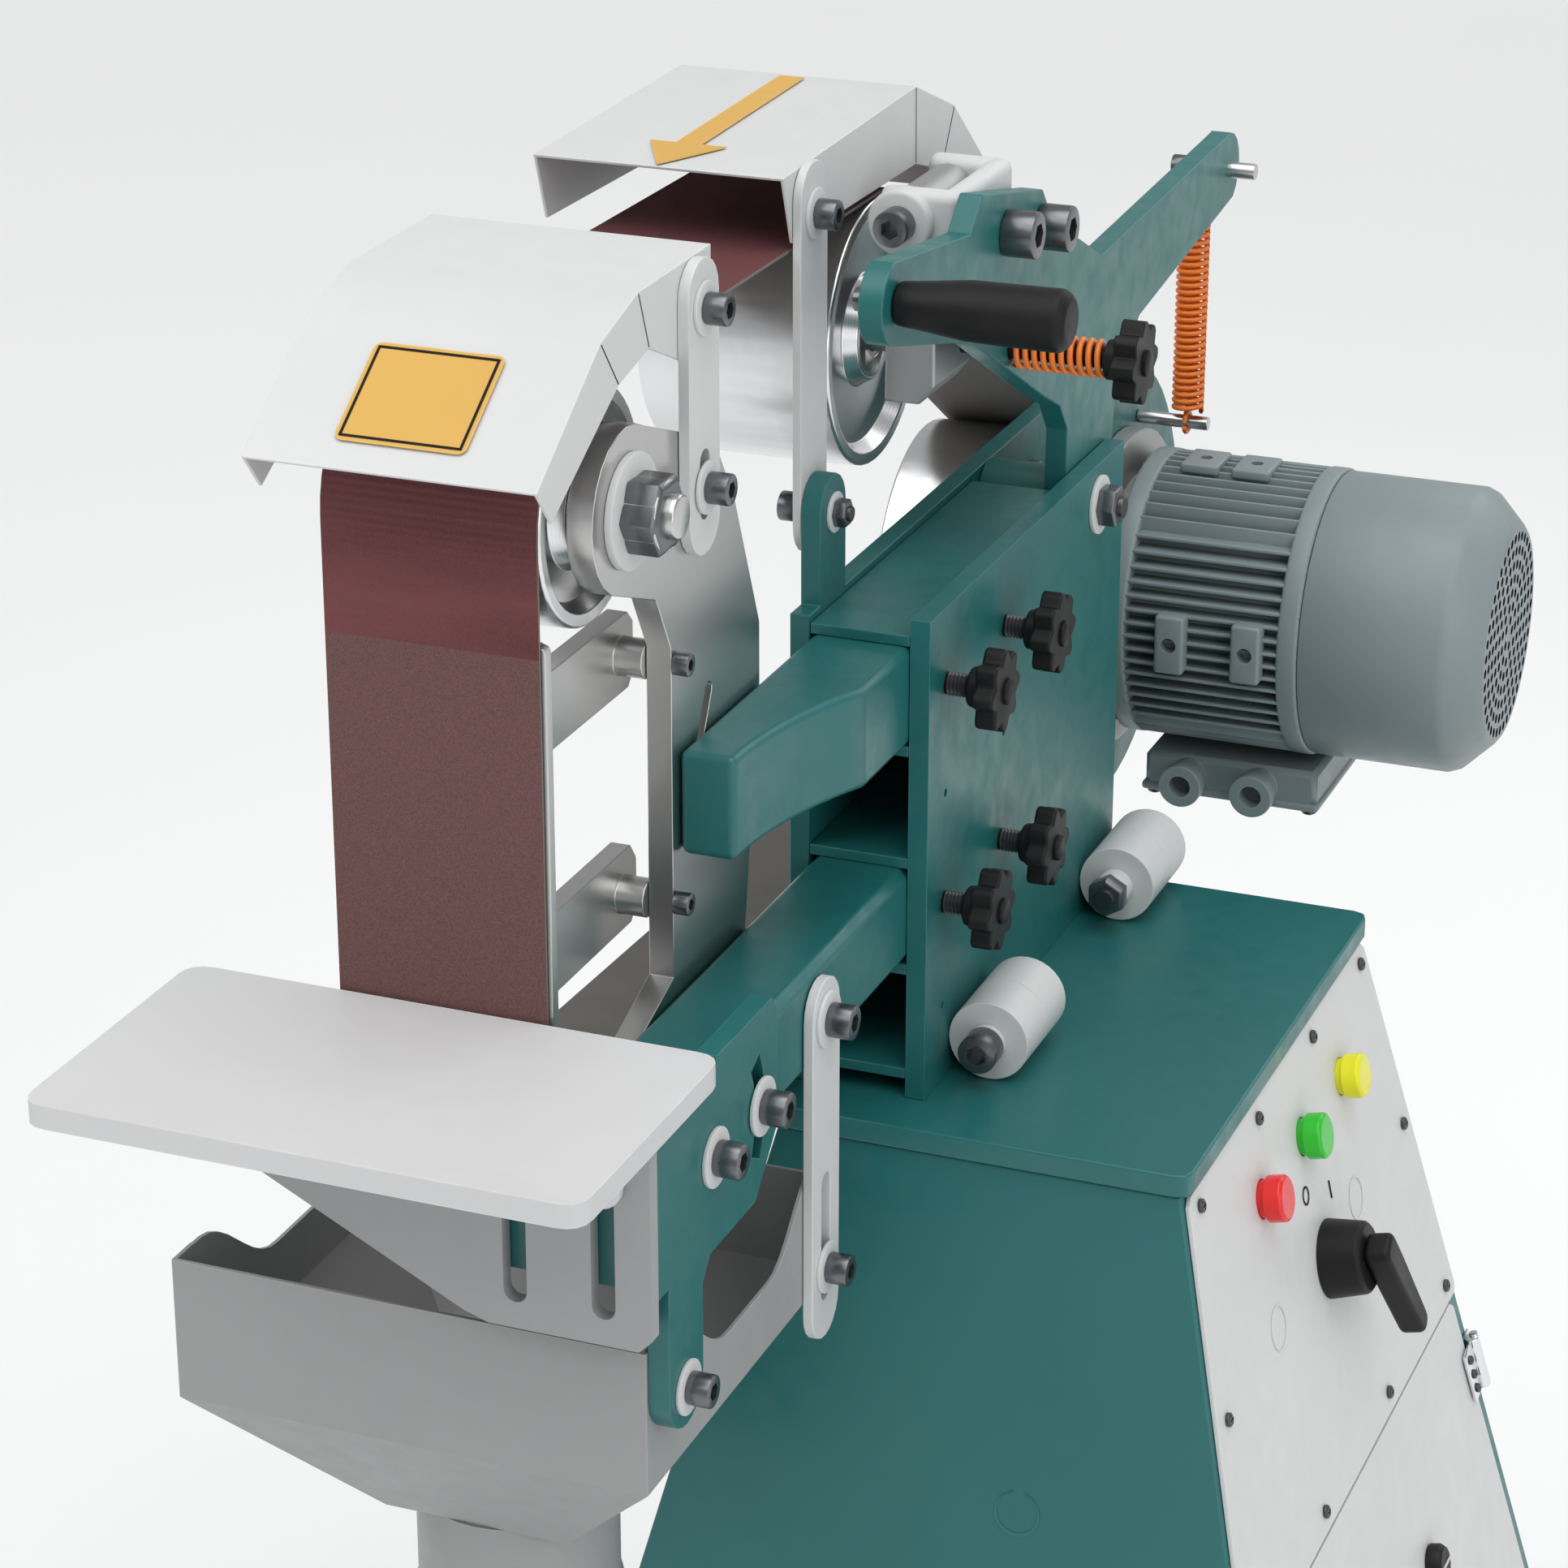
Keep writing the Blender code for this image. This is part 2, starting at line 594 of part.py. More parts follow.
def build_wheels():
    for name, (y, z, radius), bore in (("top_wheel", TOP_WHEEL, 10.4), ("low_wheel", LOW_WHEEL, 8.4),
                                       ("tracking_wheel", TRACKING_WHEEL, 10.4)):
        turned(name, "aluminium", along_x(0.0, y, z), wheel_profile(radius, BELT_HALF, bore, 8.0), WHEEL_SIDES)
    radius = DRIVE_WHEEL[2]
    profile = [(0.0, 81.0), (12.0, 81.0), (12.0, BELT_HALF)] + wheel_profile(radius, BELT_HALF, 12.0, 8.0)[3:]
    turned("drive_wheel", "aluminium", along_x(0.0, *DRIVE_WHEEL[:2]), profile, WHEEL_SIDES)
    for name, wheel, r in (("top_axle", TOP_WHEEL, 10.0), ("low_axle", LOW_WHEEL, 8.0)):
        start = BELT_HALF - 22.0
        profile = [(0.0, 90.0), (r, 90.0), (r, 86.0), (r * 1.6, 86.0), (r * 1.6, HEAD_X[1] + GAP),
                   (r, HEAD_X[1] + GAP), (r, start), (0.0, start)]
        if name == "low_axle":
            profile = rod_profile(r, start, HEAD_X[1] - GAP)
        turned(name, "steel", along_x(0.0, *wheel[:2]), profile, 24)


def belt_loop(extra):
    """The closed line round the four wheels, in (y, z), at a height above their treads."""
    rounds = [(w[0], w[1], w[2] + extra) for w in (TOP_WHEEL, TRACKING_WHEEL, DRIVE_WHEEL, LOW_WHEEL)]
    leaving = []
    for i, (y0, z0, r0) in enumerate(rounds):
        y1, z1, r1 = rounds[(i + 1) % len(rounds)]
        distance = math.hypot(y1 - y0, z1 - z0)
        leaving.append(math.atan2(z1 - z0, y1 - y0) + math.acos((r0 - r1) / distance))
    points = []
    for i, (y0, z0, r0) in enumerate(rounds):
        start = math.degrees(leaving[i - 1])
        end = math.degrees(leaving[i])
        sweep = (start - end) % 360.0
        points += arc((y0, z0), r0, start, start - sweep, max(4, int(sweep / 9)))
    return points


def build_belt():
    side_plate("belt", "belt", (-BELT_HALF, BELT_HALF), belt_loop(0.3 + BELT_T), [belt_loop(0.3)])


# Arms, head and platen

def build_arms():
    front, rear = UPPER_ARM_Y
    centre_x = ARM_X[1] - SCALLOP_DEPTH + SCALLOP_R
    reach = math.sqrt(SCALLOP_R ** 2 - (SCALLOP_R - SCALLOP_DEPTH) ** 2)
    scallop = []
    for i in range(9):
        step = reach * i / 8
        scallop.append((centre_x - math.sqrt(SCALLOP_R ** 2 - step ** 2), front + step))
    outline = [(ARM_X[0], front)] + scallop + [(ARM_X[1], rear), (ARM_X[0], rear)]
    level_plate("upper_arm", "teal", UPPER_ARM_Z, outline)
    box("lower_arm", "teal", ARM_X, LOWER_ARM_Y, LOWER_ARM_Z, 4.0)


def head_outline():
    boss = arc(TOP_WHEEL[:2], 37.0, 240.0, 60.0, 12)
    foot = arc(LOW_WHEEL[:2], 26.0, 270.0, 130.0, 8)
    rear = [(112.0, 236.0), (150.0, 222.0), (174.0, 186.0), (203.0, 118.0), (203.0, 88.0), (184.0, -32.0),
            (172.0, -78.0), (150.0, -91.0)]
    return [(99.0, -18.0), (100.0, 140.0), (84.0, 168.0)] + boss + rear + foot


def build_head():
    slot = stadium((132.0, 86.0), (142.0, 106.0), 4.0, 4)
    axle_hole = circle(TOP_WHEEL[:2], 10.4, 20)
    low_hole = circle(LOW_WHEEL[:2], 8.4, 16)
    side_plate("head_plate", "steel", HEAD_X, head_outline(), [slot, axle_hole, low_hole])
    platen = [(PLATEN_X[0], PLATEN_Z[0]), (PLATEN_X[1], PLATEN_Z[0]), (PLATEN_X[1], PLATEN_Z[1]),
              (PLATEN_X[0], PLATEN_Z[1])]
    front_plate("platen", "steel", PLATEN_Y, rounded(platen, 3.0, 2))
    web = PLATEN_Y[1] + GAP
    outline = [(web, -8.0), (24.0, -8.0), (24.0, 0.0), (112.0, 0.0), (118.0, 8.0), (118.0, 30.0),
               (112.0, 38.0), (30.0, 38.0), (30.0, 114.0), (112.0, 114.0), (118.0, 120.0), (118.0, 144.0),
               (112.0, 150.0), (24.0, 150.0), (24.0, 166.0), (web, 166.0)]
    support = as_mesh(side_plate("platen_support", "steel", SUPPORT_X, outline))
    for number, (y, z) in enumerate(STANDOFFS):
        post = turned(f"standoff_{number}", None, along_x(0.0, y, z),
                      rod_profile(9.0, SUPPORT_X[1] - 2.0, HEAD_X[0] - GAP), 16)
        combine(support, post, "UNION")


# Guards

def inward(points, depth):
    """Move an open line of points sideways by a depth, to its right-hand side."""
    moved = []
    for i, point in enumerate(points):
        here = Vector(point)
        before = (here - Vector(points[i - 1])).normalized() if i > 0 else None
        after = (Vector(points[i + 1]) - here).normalized() if i < len(points) - 1 else None
        along = before or after
        if before and after:
            along = (before + after).normalized()
        scale = 1.0 if not (before and after) else 1.0 / along.dot(before)
        moved.append((here.x + along.y * depth * scale, here.y - along.x * depth * scale))
    return moved


def guard(name, x_range, top, low):
    """A folded sheet cover: a roof that follows the top line, with a flange down each side."""
    shell = as_mesh(side_plate(name, "white", x_range, list(top) + list(low)))
    inner = inward(top, SHEET)
    first = Vector(inner[0]) - (Vector(inner[1]) - Vector(inner[0])).normalized() * 60.0
    last = Vector(inner[-1]) - (Vector(inner[-2]) - Vector(inner[-1])).normalized() * 60.0
    outline = [tuple(first)] + inner[1:-1] + [tuple(last), (last.x, 120.0), (first.x, 120.0)]
    inside = (x_range[0] + SHEET, x_range[1] - SHEET)
    cutter = as_mesh(side_plate(name + "_inside", None, inside, outline))
    combine(shell, cutter, "DIFFERENCE")


def bar(name, dims, slot):
    x0, x1, y, low, high = dims
    holes = [] if slot is None else [stadium((y, slot[0]), (y, slot[1]), SLOT_R, 6)]
    side_plate(name, "white", (x0, x1), stadium((y, low), (y, high), BAR_R, 10), holes)


def build_guards():
    guard("front_guard", FRONT_GUARD_X, FRONT_GUARD_TOP, FRONT_GUARD_LOW)
    bar("front_guard_bar", FRONT_BAR, (197.5, 219.0))
    guard("top_guard", TOP_GUARD_X, TOP_GUARD_TOP, TOP_GUARD_LOW)
    bar("top_guard_bar", TOP_BAR, None)


# Tension arm and tracking

def tension_outline():
    lobe = arc(HANDLE, 20.0, 262.0, 100.0, 8)
    tip = arc(LEVER_TIP, 21.0, 105.0, -60.0, 8)
    tab = [(345.0, 270.0), (362.0, 285.0), (452.0, 266.0), (470.0, 246.0)]
    back = [(622.0, 156.0), (590.0, 136.0), (580.0, 112.0), (576.0, 74.0), (562.0, 58.0), (514.0, 58.0)]
    front = [(501.0, 72.0), (501.0, 128.0), (488.0, 144.0), (461.0, 157.0), (350.0, 216.0)]
    return lobe + tab + [(553.0, 207.0)] + tip + back + front


def build_tension_arm():
    arm = as_mesh(side_plate("tension_arm", "teal", ARM_PLATE_X, tension_outline(),
                             [circle(TRACK_SCREW, 5.4, 12)]))
    low, high = LEFT_X[1] + GAP, ARM_PLATE_X[0] + 3.0
    tube = [(0.0, high), (PIVOT_TUBE_R, high), (PIVOT_TUBE_R, low), (5.3, low), (5.3, high - 8.0),
            (0.0, high - 8.0)]
    tube_obj = turned("pivot_tube", None, along_x(0.0, *PIVOT), tube, 24)
    combine(arm, tube_obj, "UNION")
    start = ARM_PLATE_X[1] + GAP
    grip = [(0.0, 200.0), (11.0, 200.0), (14.5, 196.0), (14.0, 152.0), (10.0, start), (0.0, start)]
    turned("tension_handle", "black", along_x(0.0, *HANDLE), grip, 24)
    fork = [(104.7, 366.0), (104.7, 446.0), (62.0, 446.0), (62.0, 434.0), (92.0, 434.0), (92.0, 378.0),
            (62.0, 378.0), (62.0, 366.0)]
    level_plate("tracking_bracket", "white", (251.0, 283.0), fork)
    x, z = TRACK_PIVOT
    swing = arc((x, z), 13.0, 180.0, 0.0, 8) + [(88.0, 240.0), (88.0, 182.0), (80.0, 172.0), (62.0, 172.0)]
    block = as_mesh(front_plate("tracking_block", "grey", (378.6, 433.4), swing))
    axle = turned("tracking_axle", None, along_x(0.0, *TRACKING_WHEEL[:2]),
                  rod_profile(10.0, BELT_HALF - 22.0, 66.0), 24)
    combine(block, axle, "UNION")
    y, z = TRACK_SCREW
    star_knob("tracking_screw", y, z, 88.0 + SCREW_CLEARANCE, 167.0, 186.0, 21.0)
    outer, inner = 9.6, 6.6
    sleeve = [(outer, 166.7), (outer, ARM_PLATE_X[1] + GAP), (inner, ARM_PLATE_X[1] + GAP), (inner, 166.7)]
    turned("tracking_spring", "orange", along_x(0.0, y, z), sleeve, 20)
    frame = Matrix.Translation(world(SPRING_X, ANCHOR[0], 0.0))
    low, high = SPRING_Z
    sleeve = [(9.4, high), (9.4, low), (6.6, low), (6.6, high)]
    turned("tension_spring", "orange", frame, sleeve, 20)


# Table, bracket and hopper

def build_table():
    corners = [(TABLE_X[0], TABLE_Y[0]), (TABLE_X[1], TABLE_Y[0]), (TABLE_X[1], TABLE_Y[1]),
               (TABLE_X[0], TABLE_Y[1])]
    table = as_mesh(level_plate("work_table", "white", (-TABLE_T, 0.0),
                                rounded(corners, TABLE_CORNER_R, 4)))
    top = -TABLE_T + 2.0
    outline = [(-118.0, top), (-118.0, -26.0), (40.0, -106.0), (52.0, -110.0), (122.0, -110.0),
               (128.0, -104.0), (128.0, top)]
    slots = [stadium((x, -92.0), (x, -34.0), SLOT_R, 6) for x in (65.0, 106.0)]
    flange = as_mesh(front_plate("table_flange", None, FLANGE_Y, outline, slots))
    combine(table, flange, "UNION")


def build_bracket():
    lug = arc((-33.0, -145.0), 18.5, 0.0, -180.0, 10)
    side = [(-62.0, -88.0), (-62.0, -11.5), (1.0, -11.5), (3.0, -3.0), (45.0, -3.0), (66.0, -3.0),
            (72.0, -10.0), (72.0, -68.0), (46.0, -94.0), (-6.0, -94.0), (-14.5, -104.0)]
    slot_outer = arc(TILT_PIVOT, ARC_SLOT_R + SLOT_R, -26.0, 26.0, 6)
    slot_inner = arc(TILT_PIVOT, ARC_SLOT_R - SLOT_R, 26.0, -26.0, 6)
    outline = side + lug + [(-51.5, -88.0)]
    bracket = as_mesh(side_plate("table_bracket", "teal", BRACKET_X, outline, [slot_outer + slot_inner]))
    front = box("bracket_flange", None, (50.0, BRACKET_X[0] + 3.0), (-61.4, -54.2), (-86.0, -12.5))
    combine(bracket, front, "UNION")


def wave_cut():
    """The outline of what the hopper's wavy side edges leave out, in (y, z)."""
    points = []
    for i in range(25):
        y = -36.0 + 186.0 * i / 24
        rise = min(1.0, max(0.0, (y + 30.0) / 70.0))
        fall = min(1.0, max(0.0, (150.0 - y) / 60.0))
        dip = 0.5 - 0.5 * math.cos(math.pi * min(rise, fall))
        points.append((y, HOPPER_Z[1] - 0.5 - 37.0 * dip))
    return [(points[0][0], -100.0)] + points + [(points[-1][0], -100.0)]


def build_hopper():
    mesh = bpy.data.meshes.new("hopper")
    bm = bmesh.new()
    bmesh.ops.create_cube(bm, size=2.0)
    mid = ((HOPPER_X[0] + HOPPER_X[1]) / 2, (HOPPER_Y[0] + HOPPER_Y[1]) / 2)
    half = ((HOPPER_X[1] - HOPPER_X[0]) / 2, (HOPPER_Y[1] - HOPPER_Y[0]) / 2)
    depth = HOPPER_Z[1] - HOPPER_Z[0]
    for vert in bm.verts:
        z = 0.0 if vert.co.z > 0 else -depth
        vert.co = Vector((vert.co.x * half[0], vert.co.y * half[1], z)) * MM
    ends = [face for face in bm.faces if abs(face.normal.z) > 0.9]
    bmesh.ops.delete(bm, geom=ends, context="FACES_ONLY")
    rim = [edge for edge in bm.edges if edge.is_boundary and edge.verts[0].co.z < -depth * MM / 2]
    grown = bmesh.ops.extrude_edge_only(bm, edges=rim)
    reach = SPOUT[2] - 2.0
    for vert in [item for item in grown["geom"] if isinstance(item, bmesh.types.BMVert)]:
        side_x = 1.0 if vert.co.x > 0 else -1.0
        side_y = 1.0 if vert.co.y > 0 else -1.0
        x = SPOUT[0] - mid[0] + side_x * reach
        y = SPOUT[1] - mid[1] + side_y * reach
        vert.co = Vector((x, y, SPOUT_Z[1] + GAP - HOPPER_Z[1])) * MM
    bmesh.ops.recalc_face_normals(bm, faces=bm.faces)
    bm.to_mesh(mesh)
    bm.free()
    hopper = add_object("hopper", mesh, "white", Matrix.Translation(world(*mid, HOPPER_Z[1])))
    sheet = hopper.modifiers.new("Sheet", "SOLIDIFY")
    sheet.thickness = 2.0 * MM
    sheet.offset = -1.0
    sheet.use_even_offset = True
    wave = as_mesh(side_plate("hopper_wave", None, (HOPPER_X[0] - 5.0, HOPPER_X[1] + 5.0), wave_cut()))
    combine(hopper, wave, "DIFFERENCE")
    back = box("hopper_back_cut", None, (HOPPER_X[0] - 4.0, HOPPER_X[1] + 4.0),
               (HOPPER_Y[1] - 14.0, HOPPER_Y[1] + 10.0), (-140.0, -100.0))
    notch = box("hopper_notch", None, (-58.0, 58.0), (HOPPER_Y[1] - 13.0, HOPPER_Y[1] + 9.0),
                (-168.0, -138.0))
    combine(hopper, back, "DIFFERENCE")
    combine(hopper, notch, "DIFFERENCE")
    x, y, radius = SPOUT
    ring = [(radius, SPOUT_Z[1]), (radius, SPOUT_Z[0]), (radius - 2.0, SPOUT_Z[0]), (radius - 2.0, SPOUT_Z[1])]
    turned("hopper_spout", "white", Matrix.Translation(world(x, y, 0.0)), ring, 32)
    bar("link_bar", LINK_BAR, (-190.0, -134.0))


# Joints: each moving group hangs on an empty that stands on its axis

def pivot(name, place, members, parent=None):
    empty = bpy.data.objects.new(name, None)
    empty.empty_display_size = 0.03
    empty.location = place
    PARTS.objects.link(empty)
    attach(empty, [bpy.data.objects[member] for member in members])
    if parent is not None:
        attach(parent, [empty])
    return empty


def attach(parent, children):
    bpy.context.view_layer.update()
    for child in children:
        matrix = child.matrix_world.copy()
        child.parent = parent
        child.matrix_parent_inverse = parent.matrix_world.inverted()
        child.matrix_world = matrix


def build_joints():
    frame_nodes = ["frame_left_plate", "frame_right_plate", "spring_anchor", "motor_flange", "motor_body",
                   "motor_fan_cover", "motor_terminal_box", "frame_knuckle_front", "frame_knuckle_rear",
                   "belt", "top_guard_bar"]
    frame_nodes += [f"frame_shelf_{number}" for number in range(1, 6)]
    tilt = pivot("tilt_axis", world(KNUCKLE_AXIS[0], 300.0, KNUCKLE_AXIS[1]), frame_nodes)
    pivot("drive_axis", world(0.0, *DRIVE_WHEEL[:2]), ["drive_wheel"], tilt)
    for number, (y, z) in enumerate(KNOB_PLACES, 1):
        pivot(f"lock_axis_{number}", world(RIGHT_X[1], y, z), [f"lock_knob_{number}"], tilt)
    pivot("top_guard_axis", world(TOP_BAR[0], 298.0, 288.0), ["top_guard"], tilt)
    upper = pivot("upper_slide", world(92.5, UPPER_ARM_Y[0], 64.75),
                  ["upper_arm", "head_plate", "platen", "platen_support", "top_axle", "low_axle"], tilt)
    pivot("top_wheel_axis", world(0.0, *TOP_WHEEL[:2]), ["top_wheel"], upper)
    pivot("low_wheel_axis", world(0.0, *LOW_WHEEL[:2]), ["low_wheel"], upper)
    guard_slide = pivot("guard_slide", world(67.3, 127.0, 208.0), ["front_guard_bar"], upper)
    pivot("front_guard_axis", world(67.0, 127.0, 288.0), ["front_guard"], guard_slide)
    lower = pivot("lower_slide", world(92.5, LOWER_ARM_Y[0], -49.25), ["lower_arm"], tilt)
    bracket = pivot("table_tilt_axis", world(BRACKET_X[1], *TILT_PIVOT),
                    ["table_bracket", "hopper", "hopper_spout"], lower)
    pivot("table_lift", world(85.0, FLANGE_Y[0], -60.0), ["work_table"], bracket)
    pivot("link_axis", world(118.0, 146.0, -49.25), ["link_bar"], lower)
    arm = pivot("tension_axis", world(ARM_PLATE_X[0], *PIVOT),
                ["tension_arm", "tension_handle", "tracking_bracket", "tracking_spring", "tension_spring"],
                tilt)
    swing = pivot("tracking_tilt_axis", world(TRACK_PIVOT[0], 400.0, TRACK_PIVOT[1]), ["tracking_block"], arm)
    pivot("tracking_wheel_axis", world(0.0, *TRACKING_WHEEL[:2]), ["tracking_wheel"], swing)
    pivot("tracking_screw_axis", world(118.0, *TRACK_SCREW), ["tracking_screw"], arm)
    for name, y in BUTTON_Y.items():
        place = side_frame(GAP + PANEL_T) @ Vector(((y + DATUM[1]) * MM, side_v(BUTTON_Z) * MM, 0.0))
        pivot(name + "_press", place, [name])
    place = side_frame(GAP + PANEL_T) @ Vector(
        ((SWITCH[0] + DATUM[1]) * MM, side_v(SWITCH[1]) * MM, 0.0))
    pivot("switch_axis", place, ["switch_lever"])
    edge = side_outline(PANEL_SEAM - 2.0, DOOR_BOTTOM, 15.0)[2]
    door_place = side_frame(GAP + 5.5) @ Vector((edge[0] * MM, edge[1] * MM, 0.0))
    door = pivot("door_axis", door_place, ["service_door"])
    lock_place = side_frame(GAP) @ Vector(((480.0 + DATUM[1]) * MM, side_v(-486.0) * MM, 0.0))
    pivot("door_lock_axis", lock_place, ["door_lock"], door)


build_pedestal()
build_panel_and_door()
build_controls()
build_door_hardware()
build_tilt_hinge()
build_frame()
build_knobs()
build_motor()
build_wheels()
build_belt()
build_arms()
build_head()
build_guards()
build_tension_arm()
build_table()
build_bracket()
build_hopper()
build_joints()

for part in PARTS.objects:
    if part.type == "MESH" and len(part.data.polygons):
        smooth(part.data)
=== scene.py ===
import json
import math

import bmesh
import bpy
from mathutils import Matrix, Vector


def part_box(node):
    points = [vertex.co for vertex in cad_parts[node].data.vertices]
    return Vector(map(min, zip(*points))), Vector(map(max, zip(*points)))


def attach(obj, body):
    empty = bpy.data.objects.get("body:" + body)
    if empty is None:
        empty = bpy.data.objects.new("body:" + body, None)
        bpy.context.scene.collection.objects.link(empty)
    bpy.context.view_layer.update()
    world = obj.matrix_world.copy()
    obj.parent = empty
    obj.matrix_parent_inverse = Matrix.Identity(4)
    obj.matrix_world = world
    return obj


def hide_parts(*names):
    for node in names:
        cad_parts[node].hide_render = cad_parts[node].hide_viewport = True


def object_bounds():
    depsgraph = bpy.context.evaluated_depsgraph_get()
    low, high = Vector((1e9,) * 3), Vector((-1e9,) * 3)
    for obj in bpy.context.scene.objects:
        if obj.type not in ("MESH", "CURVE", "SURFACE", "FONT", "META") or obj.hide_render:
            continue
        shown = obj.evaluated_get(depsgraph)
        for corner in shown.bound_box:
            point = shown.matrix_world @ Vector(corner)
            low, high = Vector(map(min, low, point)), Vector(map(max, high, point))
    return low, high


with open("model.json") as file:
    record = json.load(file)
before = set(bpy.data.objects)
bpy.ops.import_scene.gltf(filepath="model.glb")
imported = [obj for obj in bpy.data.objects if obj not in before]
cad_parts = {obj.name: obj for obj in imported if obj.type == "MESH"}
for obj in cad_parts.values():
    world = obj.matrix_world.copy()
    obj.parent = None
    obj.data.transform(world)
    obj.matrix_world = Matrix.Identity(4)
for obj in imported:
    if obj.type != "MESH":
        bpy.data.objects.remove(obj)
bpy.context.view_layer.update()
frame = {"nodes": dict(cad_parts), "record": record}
record = frame["record"]
joints = {joint["name"]: joint for joint in record["behaviour"]["joints"]}
print("frame loaded")

# work datum: middle of the belt, its front face, top of the table
beltLow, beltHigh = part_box("belt")
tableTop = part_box("work_table")[1][2]
datum = Vector(((beltLow[0] + beltHigh[0]) / 2, beltLow[1], tableTop))
mm = 0.001
right = Vector((1, 0, 0))
left = Vector((-1, 0, 0))
back = Vector((0, 1, 0))
front = Vector((0, -1, 0))
up = Vector((0, 0, 1))
down = Vector((0, 0, -1))


def at(x, y, z):
    # a place in millimetres from the work datum
    return datum + Vector((x, y, z)) * mm


def onMidline(low, high, x):
    # the point at x on the line through a box's middle that runs left to right
    return Vector((x, (low[1] + high[1]) / 2, (low[2] + high[2]) / 2))


def pivotOf(name):
    return Vector(joints[name]["pos_m"])


# materials: small node helpers, then one function per finish

def newMaterial(name):
    material = bpy.data.materials.new(name)
    material.use_nodes = True
    nodes = material.node_tree.nodes
    return material, nodes, material.node_tree.links, nodes["Principled BSDF"]


def addNoise(nodes, links, scale, detail=4.0, stretch=(1, 1, 1)):
    coords = nodes.new("ShaderNodeTexCoord")
    mapping = nodes.new("ShaderNodeMapping")
    mapping.inputs["Scale"].default_value = stretch
    links.new(coords.outputs["Object"], mapping.inputs["Vector"])
    noise = nodes.new("ShaderNodeTexNoise")
    noise.inputs["Scale"].default_value = scale
    noise.inputs["Detail"].default_value = detail
    links.new(mapping.outputs["Vector"], noise.inputs["Vector"])
    return noise.outputs["Fac"]


def spread(nodes, links, value, low, high):
    ranger = nodes.new("ShaderNodeMapRange")
    ranger.inputs["From Min"].default_value = 0.3
    ranger.inputs["From Max"].default_value = 0.7
    ranger.inputs["To Min"].default_value = low
    ranger.inputs["To Max"].default_value = high
    links.new(value, ranger.inputs["Value"])
    return ranger.outputs["Result"]


def mixColor(nodes, links, factor, first, second):
    mix = nodes.new("ShaderNodeMix")
    mix.data_type = "RGBA"
    links.new(factor, mix.inputs["Factor"])
    for socket, color in ((mix.inputs[6], first), (mix.inputs[7], second)):
        if isinstance(color, tuple):
            socket.default_value = (*color, 1)
        else:
            links.new(color, socket)
    return mix.outputs[2]


def edgeMask(nodes, links, radius, noise):
    # where a rounded copy of the normal leaves the true one, paint has rubbed thin
    bevel = nodes.new("ShaderNodeBevel")
    bevel.inputs["Radius"].default_value = radius
    bevel.samples = 4
    geometry = nodes.new("ShaderNodeNewGeometry")
    dot = nodes.new("ShaderNodeVectorMath")
    dot.operation = "DOT_PRODUCT"
    links.new(bevel.outputs["Normal"], dot.inputs[0])
    links.new(geometry.outputs["Normal"], dot.inputs[1])
    ranger = nodes.new("ShaderNodeMapRange")
    ranger.inputs["From Min"].default_value = 0.99
    ranger.inputs["From Max"].default_value = 0.86
    links.new(dot.outputs["Value"], ranger.inputs["Value"])
    product = nodes.new("ShaderNodeMath")
    product.operation = "MULTIPLY"
    product.use_clamp = True
    links.new(ranger.outputs["Result"], product.inputs[0])
    links.new(spread(nodes, links, noise, 0.1, 1.0), product.inputs[1])
    return product.outputs["Value"]


def addBump(nodes, links, shader, height, strength, distance):
    bump = nodes.new("ShaderNodeBump")
    bump.inputs["Strength"].default_value = strength
    bump.inputs["Distance"].default_value = distance
    links.new(height, bump.inputs["Height"])
    links.new(bump.outputs["Normal"], shader.inputs["Normal"])


def paintedMetal(name, color, worn, rough, grain, dirt):
    # sprayed coat: soft colour drift, orange peel and rubbed edges
    settings = {"driftScale": 5.0, "fineScale": 70.0, "peelScale": 900.0, "peelDepth": 0.2 * mm,
                "edgeRadius": 1.2 * mm}
    material, nodes, links, shader = newMaterial(name)
    drift = addNoise(nodes, links, settings["driftScale"], 5.0)
    fine = addNoise(nodes, links, settings["fineScale"], 6.0)
    shade = tuple(c * dirt for c in color)
    base = mixColor(nodes, links, spread(nodes, links, drift, 0.0, 0.7), color, shade)
    patch = mixColor(nodes, links, edgeMask(nodes, links, settings["edgeRadius"], fine), base, worn)
    links.new(patch, shader.inputs["Base Color"])
    links.new(spread(nodes, links, fine, rough - 0.06, rough + 0.1), shader.inputs["Roughness"])
    addBump(nodes, links, shader, addNoise(nodes, links, settings["peelScale"], 2.0), grain,
            settings["peelDepth"])
    return material


def brushedMetal(name, color, rough, stretch, metallic=1.0, lineDepth=0.06, vary=0.03):
    # fine parallel lines left by a belt or a mill
    settings = {"lineScale": 420.0, "cloudScale": 6.0, "dulling": 0.92, "depth": 0.05 * mm}
    material, nodes, links, shader = newMaterial(name)
    lines = addNoise(nodes, links, settings["lineScale"], 3.0, stretch)
    cloud = addNoise(nodes, links, settings["cloudScale"], 2.0)
    dull = tuple(c * settings["dulling"] for c in color)
    links.new(mixColor(nodes, links, spread(nodes, links, cloud, 0.0, 0.8), color, dull),
              shader.inputs["Base Color"])
    links.new(spread(nodes, links, lines, rough - vary, rough + vary), shader.inputs["Roughness"])
    shader.inputs["Metallic"].default_value = metallic
    if lineDepth > 0:
        addBump(nodes, links, shader, lines, lineDepth, settings["depth"])
    return material


